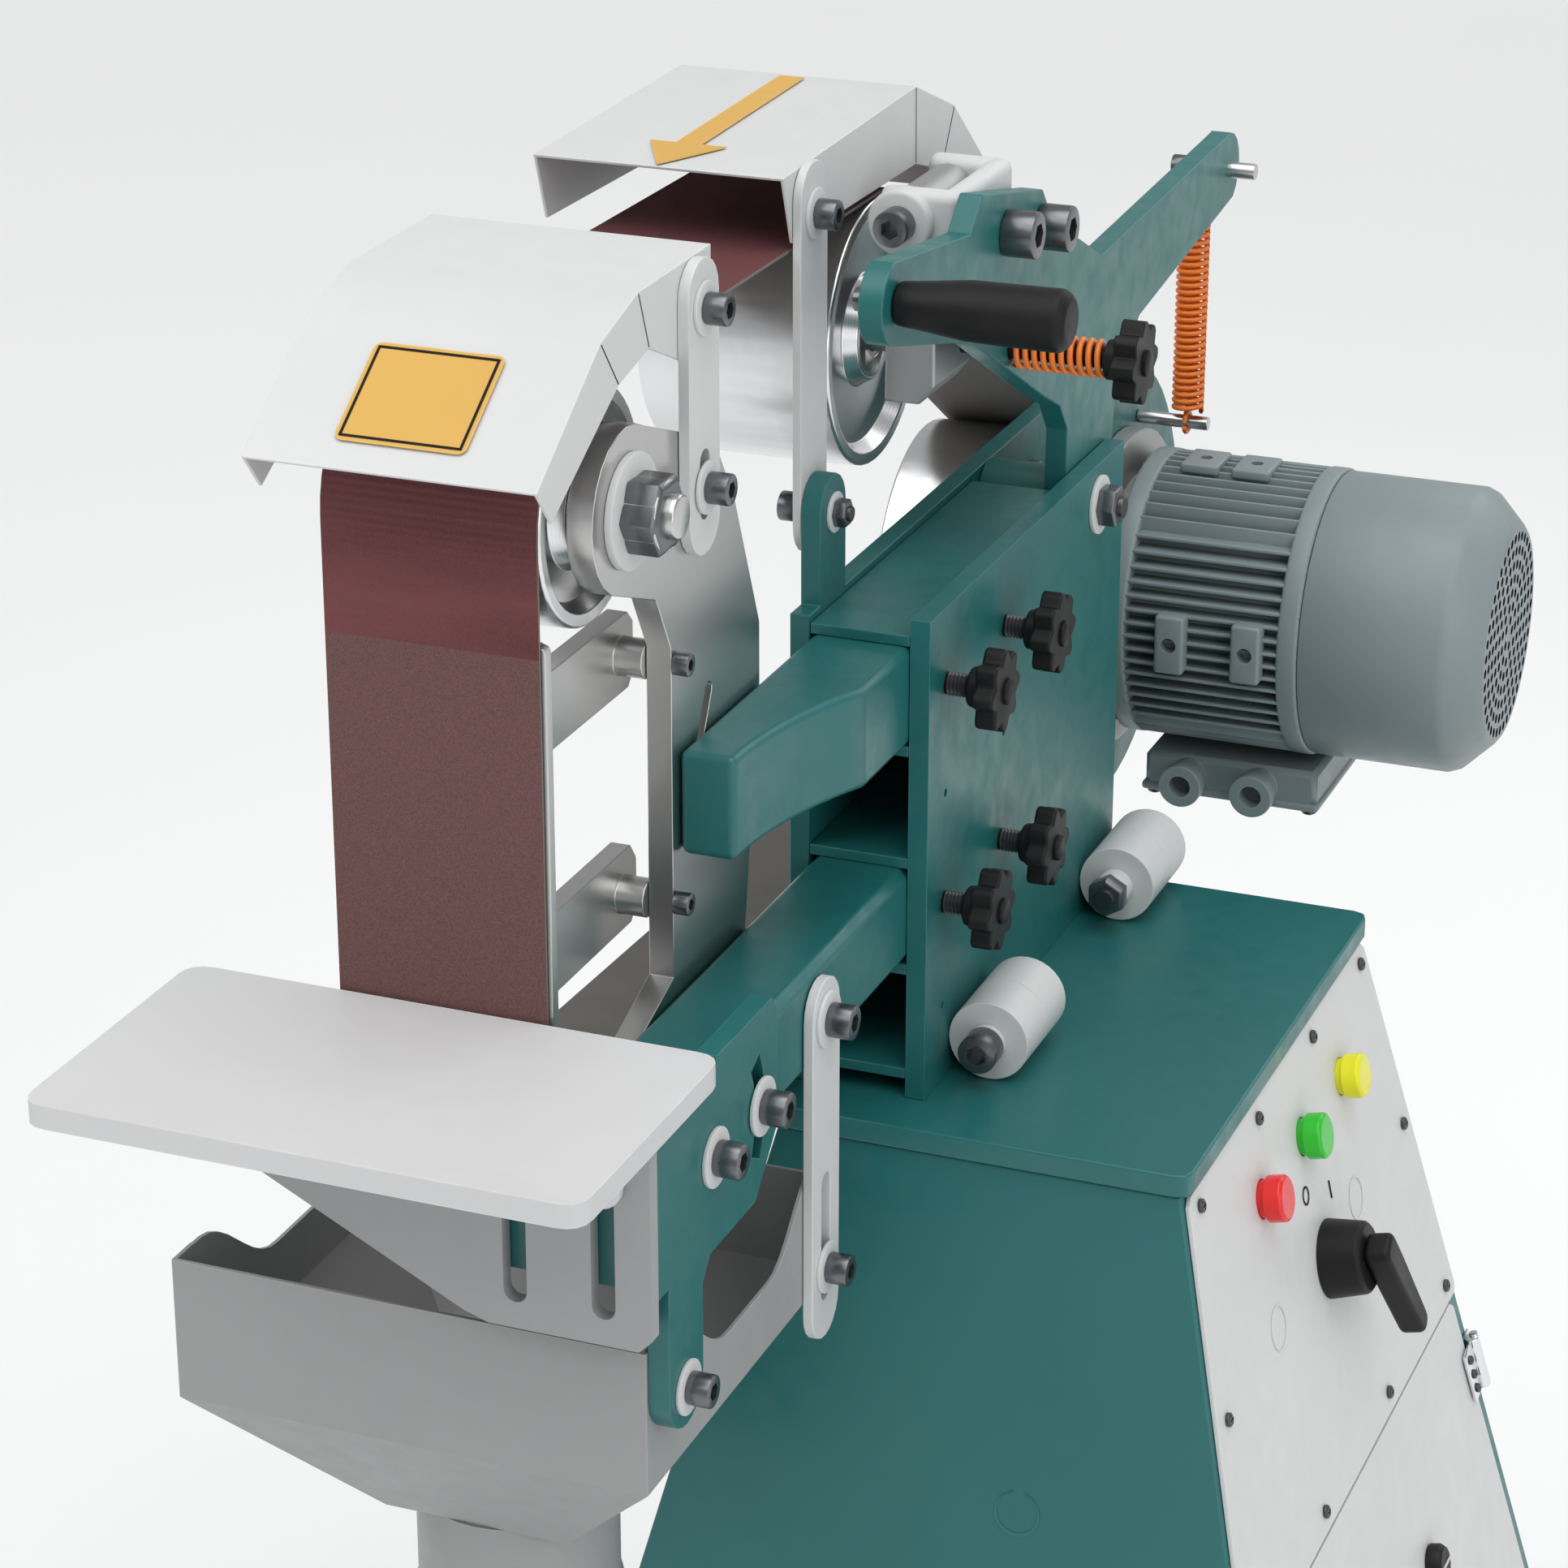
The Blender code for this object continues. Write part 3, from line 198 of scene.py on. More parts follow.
def turnedMetal(name, color, centre, rough):
    # circular tool marks about a wheel's own axis, which runs along x
    settings = {"ringScale": 420.0, "waver": 1.2, "dull": (0.64, 0.64, 0.64), "depth": 0.05 * mm}
    material, nodes, links, shader = newMaterial(name)
    coords = nodes.new("ShaderNodeTexCoord")
    mapping = nodes.new("ShaderNodeMapping")
    mapping.inputs["Location"].default_value = (0, -centre[1], -centre[2])
    links.new(coords.outputs["Object"], mapping.inputs["Vector"])
    wave = nodes.new("ShaderNodeTexWave")
    wave.wave_type = "RINGS"
    wave.rings_direction = "X"
    wave.inputs["Scale"].default_value = settings["ringScale"]
    wave.inputs["Distortion"].default_value = settings["waver"]
    links.new(mapping.outputs["Vector"], wave.inputs["Vector"])
    cloud = addNoise(nodes, links, 9.0, 2.0)
    links.new(mixColor(nodes, links, spread(nodes, links, cloud, 0.0, 0.5), color, settings["dull"]),
              shader.inputs["Base Color"])
    links.new(spread(nodes, links, wave.outputs["Fac"], rough, rough + 0.05), shader.inputs["Roughness"])
    shader.inputs["Metallic"].default_value = 1.0
    addBump(nodes, links, shader, wave.outputs["Fac"], 0.01, settings["depth"])
    return material


def mouldedPlastic(name, color, rough, grain):
    settings = {"cloudScale": 30.0, "grainScale": 1400.0, "shine": 0.24, "depth": 0.2 * mm}
    material, nodes, links, shader = newMaterial(name)
    cloud = addNoise(nodes, links, settings["cloudScale"], 5.0)
    lighter = tuple(min(1.0, c * 1.2 + 0.003) for c in color)
    shader.inputs["Specular IOR Level"].default_value = settings["shine"]
    links.new(mixColor(nodes, links, spread(nodes, links, cloud, 0.0, 0.7), color, lighter),
              shader.inputs["Base Color"])
    links.new(spread(nodes, links, cloud, rough - 0.05, rough + 0.12), shader.inputs["Roughness"])
    addBump(nodes, links, shader, addNoise(nodes, links, settings["grainScale"], 2.0), grain,
            settings["depth"])
    return material


def compare(nodes, links, value, operation, limit):
    test = nodes.new("ShaderNodeMath")
    test.operation = operation
    test.inputs[1].default_value = limit
    links.new(value, test.inputs[0])
    return test.outputs["Value"]


def abrasiveCloth(name, color, dark):
    # resin-bonded grit: coarse speckle, dusty patches, a browner front run and fine ribs high up
    settings = {"splice": 167 * mm, "frontRun": 4 * mm, "ribsFrom": 205 * mm,
                "rubbedDark": (0.095, 0.042, 0.040), "rubbedLight": (0.18, 0.090, 0.086),
                "gritScale": 1700.0, "wearScale": 9.0, "ribScale": 90.0, "depth": 0.4 * mm}
    material, nodes, links, shader = newMaterial(name)
    grit = addNoise(nodes, links, settings["gritScale"], 3.0)
    wear = addNoise(nodes, links, settings["wearScale"], 5.0, (0.5, 0.5, 3.0))
    speckle = mixColor(nodes, links, spread(nodes, links, grit, 0.0, 1.0), dark, color)
    dusty = tuple(min(1.0, c * 1.9 + 0.03) for c in color)
    body = mixColor(nodes, links, spread(nodes, links, wear, 0.0, 0.45), speckle, dusty)
    # only the front run, below the splice, is rubbed to a browner tone
    coords = nodes.new("ShaderNodeTexCoord")
    parts = nodes.new("ShaderNodeSeparateXYZ")
    links.new(coords.outputs["Object"], parts.inputs["Vector"])
    below = compare(nodes, links, parts.outputs["Z"], "LESS_THAN", datum.z + settings["splice"])
    ahead = compare(nodes, links, parts.outputs["Y"], "LESS_THAN", datum.y + settings["frontRun"])
    rubbed = nodes.new("ShaderNodeMath")
    rubbed.operation = "MULTIPLY"
    links.new(below, rubbed.inputs[0])
    links.new(ahead, rubbed.inputs[1])
    brown = mixColor(nodes, links, spread(nodes, links, grit, 0.0, 1.0), settings["rubbedDark"],
                     settings["rubbedLight"])
    body = mixColor(nodes, links, rubbed.outputs["Value"], body, brown)
    links.new(body, shader.inputs["Base Color"])
    links.new(spread(nodes, links, grit, 0.78, 0.98), shader.inputs["Roughness"])
    # fine cross ribs where the cloth turns over the top wheel
    ribs = nodes.new("ShaderNodeTexWave")
    ribs.bands_direction = "Z"
    ribs.inputs["Scale"].default_value = settings["ribScale"]
    ribs.inputs["Distortion"].default_value = 0.4
    links.new(coords.outputs["Object"], ribs.inputs["Vector"])
    turned = compare(nodes, links, parts.outputs["Z"], "GREATER_THAN", datum.z + settings["ribsFrom"])
    ribHeight = nodes.new("ShaderNodeMath")
    ribHeight.operation = "MULTIPLY"
    links.new(ribs.outputs["Fac"], ribHeight.inputs[0])
    links.new(turned, ribHeight.inputs[1])
    height = nodes.new("ShaderNodeMath")
    links.new(grit, height.inputs[0])
    links.new(ribHeight.outputs["Value"], height.inputs[1])
    addBump(nodes, links, shader, height.outputs["Value"], 0.5, settings["depth"])
    return material


def glossPlastic(name, color):
    settings = {"cloudScale": 40.0, "grainScale": 500.0, "grain": 0.03, "depth": 0.2 * mm}
    material, nodes, links, shader = newMaterial(name)
    cloud = addNoise(nodes, links, settings["cloudScale"], 4.0)
    deep = tuple(c * 0.75 for c in color)
    links.new(mixColor(nodes, links, spread(nodes, links, cloud, 0.0, 0.5), color, deep),
              shader.inputs["Base Color"])
    links.new(spread(nodes, links, cloud, 0.16, 0.32), shader.inputs["Roughness"])
    addBump(nodes, links, shader, addNoise(nodes, links, settings["grainScale"], 2.0),
            settings["grain"], settings["depth"])
    return material


teal = paintedMetal("tealPaint", (0.014, 0.136, 0.133), (0.06, 0.24, 0.23), 0.36, 0.06, 0.9)
lightPaint = paintedMetal("lightPaint", (0.62, 0.625, 0.625), (0.74, 0.74, 0.73), 0.46, 0.12, 0.94)
# grey coat, darkened further as painted shade for the hopper's place under the table
hopperPaint = paintedMetal("hopperPaint", (0.32, 0.322, 0.324), (0.46, 0.46, 0.46), 0.48, 0.12, 0.92)
motorPaint = paintedMetal("motorPaint", (0.222, 0.272, 0.278), (0.34, 0.39, 0.39), 0.42, 0.16, 0.86)
headSteel = brushedMetal("headSteel", (0.58, 0.58, 0.57), 0.29, (1, 1, 1), 1.0, 0.0, 0.006)
platenSteel = brushedMetal("platenSteel", (0.62, 0.62, 0.61), 0.34, (1, 1, 1), 1.0, 0.0, 0.01)
boltZinc = brushedMetal("boltZinc", (0.60, 0.60, 0.59), 0.26, (1, 1, 1), 1.0, 0.006, 0.01)
boltGrey = brushedMetal("boltGrey", (0.17, 0.175, 0.185), 0.30, (1, 1, 1), 0.9)
boltDark = brushedMetal("boltDark", (0.10, 0.10, 0.105), 0.36, (1, 1, 1), 0.85)
castGrey = brushedMetal("castGrey", (0.42, 0.43, 0.43), 0.42, (1, 1, 1), 0.75)
plating = brushedMetal("hingePlating", (0.78, 0.79, 0.80), 0.14, (1, 1, 0.4))
blackPlastic = mouldedPlastic("blackPlastic", (0.006, 0.006, 0.0065), 0.46, 0.18)
springPaint = paintedMetal("springPaint", (0.86, 0.20, 0.014), (0.60, 0.32, 0.16), 0.30, 0.06, 0.85)
yellowPaint = paintedMetal("yellowPaint", (0.67, 0.39, 0.075), (0.75, 0.55, 0.25), 0.40, 0.05, 0.85)
redCap = glossPlastic("redCap", (0.76, 0.018, 0.018))
greenCap = glossPlastic("greenCap", (0.02, 0.50, 0.02))
yellowCap = glossPlastic("yellowCap", (0.78, 0.76, 0.01))
grit = abrasiveCloth("beltGrit", (0.140, 0.036, 0.038), (0.050, 0.013, 0.015))
tableCoat = paintedMetal("tableCoat", (0.60, 0.60, 0.605), (0.74, 0.74, 0.73), 0.46, 0.12, 0.94)
# painted shade: the slotted plates under the table are darker than its worn top, standing in for the
# table's shadow on them
tableThick = 12.2 * mm
coatNodes, coatLinks = tableCoat.node_tree.nodes, tableCoat.node_tree.links
coatShader = coatNodes["Principled BSDF"]
coatCoords = coatNodes.new("ShaderNodeTexCoord")
coatParts = coatNodes.new("ShaderNodeSeparateXYZ")
coatLinks.new(coatCoords.outputs["Object"], coatParts.inputs["Vector"])
# mask for the painted shade: everything lower than the table's thickness
tableShadeMask = compare(coatNodes, coatLinks, coatParts.outputs["Z"], "LESS_THAN", datum.z - tableThick)
coatTop = coatShader.inputs["Base Color"].links[0].from_socket
# painted shade colour for the plates under the table
coatLinks.new(mixColor(coatNodes, coatLinks, tableShadeMask, coatTop, (0.33, 0.332, 0.335)),
              coatShader.inputs["Base Color"])
backing = mouldedPlastic("beltBacking", (0.16, 0.15, 0.14), 0.85, 0.5)
shadowBlack = mouldedPlastic("shadowBlack", (0.008, 0.008, 0.009), 0.8, 0.1)
print("materials ready")

# finishes on the frame's own nodes

finishGroups = (
    (teal, "pedestal top_plate frame_left_plate frame_right_plate upper_arm lower_arm table_bracket "
           "tension_arm"),
    (lightPaint, "control_panel service_door front_guard front_guard_bar top_guard top_guard_bar link_bar "
                 "tracking_bracket frame_knuckle_front frame_knuckle_rear base_knuckle_front "
                 "base_knuckle_rear"),
    (tableCoat, "work_table"), (hopperPaint, "hopper hopper_spout"),
    (headSteel, "head_plate"), (platenSteel, "platen platen_support"),
    (boltZinc, "top_axle low_axle spring_anchor"), (castGrey, "tracking_block motor_flange"),
    (motorPaint, "motor_body motor_terminal_box"),
    (blackPlastic, "switch_base switch_lever door_lock tension_handle tracking_screw"),
    (redCap, "button_red"), (greenCap, "button_green"), (yellowCap, "button_yellow"),
    (plating, "door_hinge_upper door_hinge_lower"),
)
nodeFinish = {name: material for material, names in finishGroups for name in names.split()}
for number in range(1, 6):
    nodeFinish[f"frame_shelf_{number}"] = teal
for number in range(1, 5):
    nodeFinish[f"lock_knob_{number}"] = blackPlastic
for wheel, spin in (("top_wheel", "top_wheel_spin"), ("low_wheel", "low_wheel_spin"),
                    ("tracking_wheel", "tracking_wheel_spin"), ("drive_wheel", "drive_spin")):
    nodeFinish[wheel] = turnedMetal(wheel + "Metal", (0.78, 0.78, 0.79), pivotOf(spin), 0.22)

edgeSize = {"pedestal": 2.5, "top_plate": 1.5, "upper_arm": 4.0, "lower_arm": 2.0, "head_plate": 1.0,
            "tension_arm": 1.2, "hopper": 0.5, "front_guard": 0.5, "top_guard": 0.5, "switch_lever": 3.0,
            "lock_knob_1": 1.8, "lock_knob_2": 1.8, "lock_knob_3": 1.8, "lock_knob_4": 1.8,
            "tracking_screw": 1.8, "motor_body": 0.6, "work_table": 1.0, "control_panel": 0.7,
            "service_door": 0.7, "hopper_spout": 0.4, "motor_terminal_box": 1.0, "tracking_bracket": 6.0,
            "tracking_block": 5.0, "tension_handle": 1.6}


def deselect():
    bpy.ops.object.select_all(action="DESELECT")


def pickOnly(piece):
    deselect()
    piece.select_set(True)
    bpy.context.view_layer.objects.active = piece


def softenNode(node, width):
    # welded, flattened and given small round edges, without touching its mesh
    weld = node.modifiers.new("weld", "WELD")
    weld.merge_threshold = 0.00001
    flat = node.modifiers.new("flat", "DECIMATE")
    flat.decimate_type = "DISSOLVE"
    flat.angle_limit = math.radians(1.0)
    bevel = node.modifiers.new("edges", "BEVEL")
    bevel.width = width * mm
    bevel.segments = 3
    bevel.limit_method = "ANGLE"
    bevel.angle_limit = math.radians(38)
    bevel.harden_normals = False
    normals = node.modifiers.new("normals", "WEIGHTED_NORMAL")
    normals.keep_sharp = False
    pickOnly(node)
    bpy.ops.object.shade_smooth()


for name, material in nodeFinish.items():
    node = frame["nodes"][name]
    node.data.materials.clear()
    node.data.materials.append(material)
    softenNode(node, edgeSize.get(name, 0.6))
print("frame nodes finished")

# modelling helpers: primitives shaped with edit-mode operators


def turnTo(direction):
    return Vector((0, 0, 1)).rotation_difference(direction.normalized()).to_euler()


def startPiece(name):
    piece = bpy.context.active_object
    piece.name = name
    piece.data.name = name
    return piece


def addRound(name, spot, direction, radius, depth, sides=32):
    # a cylinder that stands on spot and grows along direction
    deselect()
    middle = spot + direction.normalized() * depth * mm / 2
    bpy.ops.mesh.primitive_cylinder_add(vertices=sides, radius=radius * mm, depth=depth * mm,
                                        location=middle, rotation=turnTo(direction))
    return settle(startPiece(name))


def addBlock(name, middle, size):
    deselect()
    bpy.ops.mesh.primitive_cube_add(size=1, location=middle)
    piece = startPiece(name)
    piece.scale = Vector(size) * mm
    return settle(piece)


def settle(piece):
    # a piece's place, turn and size go into its mesh
    pickOnly(piece)
    bpy.ops.object.transform_apply(location=True, rotation=True, scale=True)
    return piece


def applyModifier(piece, modifier):
    pickOnly(piece)
    bpy.ops.object.modifier_apply(modifier=modifier.name)


def roundEdges(piece, width, segments=2, angle=35):
    bevel = piece.modifiers.new("edges", "BEVEL")
    bevel.width = width * mm
    bevel.segments = segments
    bevel.limit_method = "ANGLE"
    bevel.angle_limit = math.radians(angle)
    applyModifier(piece, bevel)


def smoothPiece(piece, angle):
    pickOnly(piece)
    bpy.ops.object.shade_smooth_by_angle(angle=math.radians(angle))


def cutWith(piece, cutter):
    cut = piece.modifiers.new("cut", "BOOLEAN")
    cut.operation = "DIFFERENCE"
    cut.solver = "EXACT"
    cut.object = cutter
    applyModifier(piece, cut)
    bpy.data.objects.remove(cutter)


def boreHole(piece, spot, direction, radius, depth, sides=20):
    bore = addRound("bore", spot, direction, radius, depth, sides)
    cutWith(piece, bore)


def openMerged(piece, gap):
    # into edit mode, with doubled points merged and everything selected
    pickOnly(piece)
    bpy.ops.object.mode_set(mode="EDIT")
    bpy.ops.mesh.select_all(action="SELECT")
    bpy.ops.mesh.remove_doubles(threshold=gap)


def joinPieces(name, pieces):
    deselect()
    for piece in pieces:
        piece.select_set(True)
    bpy.context.view_layer.objects.active = pieces[0]
    bpy.ops.object.join()
    pieces[0].name = name
    pieces[0].data.name = name
    return pieces[0]


def shapeTop(piece, direction, inset, lift):
    # inset the end face that looks along direction and push it out or in
    pickOnly(piece)
    bpy.ops.object.mode_set(mode="EDIT")
    bpy.ops.mesh.select_all(action="DESELECT")
    mesh = bmesh.from_edit_mesh(piece.data)
    bpy.context.tool_settings.mesh_select_mode = (False, False, True)
    toWorld = piece.matrix_world.to_3x3()
    best = max(mesh.faces, key=lambda face: (toWorld @ face.normal).dot(direction)
               + 0.001 * (piece.matrix_world @ face.calc_center_median()).dot(direction))
    best.select_set(True)
    bmesh.update_edit_mesh(piece.data)
    bpy.ops.mesh.inset(thickness=inset * mm, depth=0)
    bpy.ops.transform.translate(value=direction.normalized() * lift * mm)
    bpy.ops.object.mode_set(mode="OBJECT")


def finishPiece(piece, material, body, angle=32):
    if material is not None:
        piece.data.materials.clear()
        piece.data.materials.append(material)
    settle(piece)
    smoothPiece(piece, angle)
    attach(piece, body)
    return piece


def copyPiece(source, name, matrix):
    mesh = source.data.copy()
    mesh.name = name
    mesh.transform(matrix)
    piece = bpy.data.objects.new(name, mesh)
    bpy.context.scene.collection.objects.link(piece)
    return piece


def placeMatrix(spot, direction, size=1.0):
    turn = Vector((0, 0, 1)).rotation_difference(direction.normalized()).to_matrix().to_4x4()
    return Matrix.Translation(spot) @ turn @ Matrix.Scale(size, 4)


# fasteners: each is modelled once at the origin, head up, and copied into place

fastenerStore = {}


def makeWasher(radius, thick):
    washer = addRound("washer", Vector((0, 0, 0)), up, radius, thick, 32)
    roundEdges(washer, 0.35)
    washer.data.materials.append(lightPaint)
    return washer


def makeSocketScrew(withWasher):
    settings = {"headRadius": 6.6, "headHeight": 9.5, "socket": 3.6, "washer": 11.0, "washerThick": 1.6}
    base = settings["washerThick"] if withWasher else 0.0
    head = addRound("socketHead", Vector((0, 0, base * mm)), up, settings["headRadius"],
                    settings["headHeight"], 28)
    roundEdges(head, 0.7)
    recess = addRound("hexRecess", Vector((0, 0, (base + 5.0) * mm)), up, settings["socket"], 8.0, 6)
    cutWith(head, recess)
    head.data.materials.append(boltGrey)
    if not withWasher:
        return head
    return joinPieces("socketScrew", [head, makeWasher(settings["washer"], settings["washerThick"])])


def makeHexNut(withWasher, stud):
    settings = {"radius": 9.0, "height": 7.0, "studShare": 0.52, "washer": 12.5, "washerThick": 1.8}
    base = settings["washerThick"] if withWasher else 0.0
    nut = addRound("nut", Vector((0, 0, base * mm)), up, settings["radius"], settings["height"], 6)
    shapeTop(nut, up, 1.2, 0.9)
    roundEdges(nut, 0.35, 2, 20)
    nut.data.materials.append(boltGrey)
    pieces = [nut]
    end = addRound("studEnd", Vector((0, 0, base * mm)), up, settings["radius"] * settings["studShare"],
                   settings["height"] + stud, 24)
    shapeTop(end, up, 0.9, 0.0)
    roundEdges(end, 0.6)
    end.data.materials.append(boltDark)
    pieces.append(end)
    if withWasher:
        pieces.append(makeWasher(settings["washer"], settings["washerThick"]))
    return joinPieces("hexNut", pieces)


def makePanHead():
    head = addRound("panHead", Vector((0, 0, 0)), up, 3.6, 1.6, 20)
    shapeTop(head, up, 1.1, 0.7)
    roundEdges(head, 0.3)
    blade = addBlock("slotA", Vector((0, 0, 2.3 * mm)), (4.4, 0.9, 1.6))
    cross = addBlock("slotB", Vector((0, 0, 2.3 * mm)), (0.9, 4.4, 1.6))
    cutWith(head, blade)
    cutWith(head, cross)
    head.data.materials.append(boltDark)
    return head


fastenerStore["socket"] = makeSocketScrew(False)
fastenerStore["socketWasher"] = makeSocketScrew(True)
fastenerStore["nut"] = makeHexNut(False, 3.0)
fastenerStore["nutWasher"] = makeHexNut(True, 3.0)
fastenerStore["pan"] = makePanHead()


def fasten(name, kind, spot, direction, body, size=1.0):
    piece = copyPiece(fastenerStore[kind], name, placeMatrix(spot, direction, size))
    smoothPiece(piece, 32)
    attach(piece, body)
    return piece


print("fasteners modelled")

# frame and tension arm
fasten("pivotNut", "nutWasher", at(128, 523, 82), right, "head_frame", 1.25)
fasten("ledgeNut", "nut", at(67, 592, 71), right, "head_frame", 0.8)
fasten("earScrew", "socketWasher", at(52.3, 298, 141), left, "head_frame", 1.1)
fasten("earNut", "nutWasher", at(67, 298, 141), right, "head_frame", 0.8)
fasten("guardPivotScrew", "socketWasher", at(56.7, 298, 286), right, "head_frame", 1.1)
for number in range(4):
    angle = math.radians(45 + 90 * number)
    spot = at(78, 750 + 79 * math.cos(angle), -45 + 79 * math.sin(angle))
    fasten(f"flangeScrew{number}", "socket", spot, right, "head_frame", 1.1)
fasten("armScrewA", "socket", at(117.3, 397, 258), right, "tension_arm", 1.75)
fasten("armScrewB", "socket", at(117.3, 450, 248), right, "tension_arm", 1.75)
fasten("handleScrew", "socket", at(105.3, 246, 263), left, "tension_arm", 0.85)
fasten("leverScrew", "socket", at(93, 786, 197), left, "tension_arm", 0.9)
leverPin = addRound("leverPin", at(91, 786, 197), right, 4.6, 42, 28)
roundEdges(leverPin, 0.6)
finishPiece(leverPin, boltZinc, "tension_arm")
boss = addRound("swingBoss", at(75, 374, 267), front, 16.5, 13, 40)
roundEdges(boss, 2.5, 3)
finishPiece(boss, lightPaint, "tension_arm", 32)
fasten("swingScrew", "socket", at(75, 361.5, 267), front, "tension_arm", 1.35)
fasten("swingNut", "nutWasher", at(75, 446, 267), back, "tension_arm", 0.9)
# head
fasten("topAxleNut", "nutWasher", at(67, 55.4, 217.9), right, "upper_slide", 2.05)
axleEnd = addRound("axleEnd", at(86, 55.4, 217.9), right, 9.9, 5.8, 40)
roundEdges(axleEnd, 1.4, 3)
finishPiece(axleEnd, boltZinc, "upper_slide")
fasten("standoffScrewA", "socket", at(67, 104, 132), right, "upper_slide", 0.8)
fasten("standoffScrewB", "socket", at(67, 102, 18), right, "upper_slide", 0.8)
fasten("slotScrewLow", "socketWasher", at(72.8, 127, 207), right, "upper_slide", 1.1)
fasten("slotScrewTop", "socketWasher", at(72.3, 127, 288), right, "front_guard_bar", 1.1)
# table, bracket, link and hopper
fasten("tiltPivotScrew", "socketWasher", at(128, -1, -49.25), right, "lower_slide", 1.25)
fasten("tiltSlotScrew", "socketWasher", at(128.4, 52, -49.25), right, "lower_slide", 1.25)
fasten("bracketLowScrew", "socketWasher", at(128, -33, -145), right, "table_tilt", 1.15)
fasten("linkTopScrew", "socketWasher", at(123, 146, -49.25), right, "lower_slide", 1.25)
fasten("linkLowScrew", "socketWasher", at(123, 146, -178), right, "table_tilt", 1.15)
# tilt hinge
headSunk = 7 * mm
for side in ("front", "rear"):
    low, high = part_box("base_knuckle_" + side)
    centre = Vector(((low[0] + high[0]) / 2, low[1], (low[2] + high[2]) / 2))
    if side == "front":
        fasten("hingeHead", "socket", centre + back * headSunk, front, "base", 1.5)
    else:
        fasten("hingeNut", "nut", centre, front, "base", 1.2)
print("fasteners placed")

# springs: a wire ring carried round by a screw


def closeEnds(coil):
    openMerged(coil, 0.001 * mm)
    bpy.ops.mesh.select_mode(type="EDGE")
    bpy.ops.mesh.select_all(action="DESELECT")
    bpy.ops.mesh.select_non_manifold()
    bpy.ops.mesh.fill_holes(sides=0)
    bpy.ops.mesh.edge_face_add()
    bpy.ops.mesh.select_all(action="SELECT")
    bpy.ops.mesh.normals_make_consistent(inside=False)
    bpy.ops.object.mode_set(mode="OBJECT")


def makeCoil(name, spot, direction, coilRadius, wire, turns, length, body, node):
    deselect()
    bpy.ops.mesh.primitive_circle_add(vertices=12, radius=wire * mm,
                                      location=(coilRadius * mm, 0, 0), rotation=(math.pi / 2, 0, 0))
    coil = startPiece(name)
    settle(coil)
    screw = coil.modifiers.new("wind", "SCREW")
    screw.axis = "Z"
    screw.angle = math.tau
    screw.iterations = turns
    screw.screw_offset = length * mm / turns
    screw.steps = 28
    screw.render_steps = 28
    applyModifier(coil, screw)
    closeEnds(coil)
    coil.data.transform(placeMatrix(spot, direction))
    finishPiece(coil, springPaint, body, 60)
    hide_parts(node)
    return coil


# coil radius, wire radius and turns of each spring, and the rings of the hooks
springSizes = {"tracking": (8.2, 1.5, 10), "tension": (8.0, 1.45, 30), "hookWire": 1.45,
               "topRing": 7.0, "lowRing": 6.0, "leastDrop": 6.0}
# how far in from the ends of a spring's box its coil and its hooks begin
springGaps = {"tracking": 1.5, "tension": 2.0, "topHook": 3.0, "lowHook": 4.0}
low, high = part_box("tracking_spring")
trackSpot = onMidline(low, high, low[0])
makeCoil("trackingCoil", trackSpot + right * springGaps["tracking"] * mm, right, *springSizes["tracking"],
         (high[0] - low[0]) / mm - 2 * springGaps["tracking"], "tension_arm", "tracking_spring")
low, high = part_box("tension_spring")
tensionSpot = Vector(((low[0] + high[0]) / 2, (low[1] + high[1]) / 2,
                      low[2] + springGaps["tension"] * mm))
makeCoil("tensionCoil", tensionSpot, up, *springSizes["tension"],
         (high[2] - low[2]) / mm - 2 * springGaps["tension"], "tension_arm", "tension_spring")


def makeWire(name, points, radius, material, body):
    # a bent wire: a bevelled curve through the points, made a mesh
    curve = bpy.data.curves.new(name, "CURVE")
    curve.dimensions = "3D"
    curve.bevel_depth = radius * mm
    curve.bevel_resolution = 3
    curve.use_fill_caps = True
    spline = curve.splines.new("POLY")
    spline.points.add(len(points) - 1)
    for target, point in zip(spline.points, points):
        target.co = (*point, 1)
    wire = bpy.data.objects.new(name, curve)
    bpy.context.scene.collection.objects.link(wire)
    pickOnly(wire)
    bpy.ops.object.convert(target="MESH")
    return finishPiece(bpy.context.active_object, material, body, 60)


def hookPoints(start, toward, height, ring):
    # up the middle of the coil, then once round the pin above or below it
    settings = {"from": -70, "sweep": 320, "steps": 14}
    points = [start, start + toward * (height - ring * 1.6) * mm * 0.5]
    centre = start + toward * height * mm
    for step in range(settings["steps"] + 1):
        angle = math.radians(settings["from"] + settings["sweep"] * step / settings["steps"])
        points.append(centre + (back * math.sin(angle) - toward * math.cos(angle)) * ring * mm)
    return points


leverEnd = at(0, 786, 197)
springTop = Vector((tensionSpot.x, leverEnd.y, high[2] - springGaps["topHook"] * mm))
topPoints = hookPoints(springTop, up, leverEnd.z / mm - springTop.z / mm, springSizes["topRing"])
makeWire("springHookTop", topPoints, springSizes["hookWire"], springPaint, "tension_arm")
anchorLow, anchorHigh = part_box("spring_anchor")
springEnd = Vector((tensionSpot.x, tensionSpot.y, low[2] + springGaps["lowHook"] * mm))
anchorDrop = (springEnd.z - (anchorLow[2] + anchorHigh[2]) / 2) / mm
lowPoints = hookPoints(springEnd, down, max(anchorDrop, springSizes["leastDrop"]), springSizes["lowRing"])
makeWire("springHookLow", lowPoints, springSizes["hookWire"], springPaint, "tension_arm")
print("springs wound")

# belt: a merged copy of the frame's band, grit outside and cloth inside


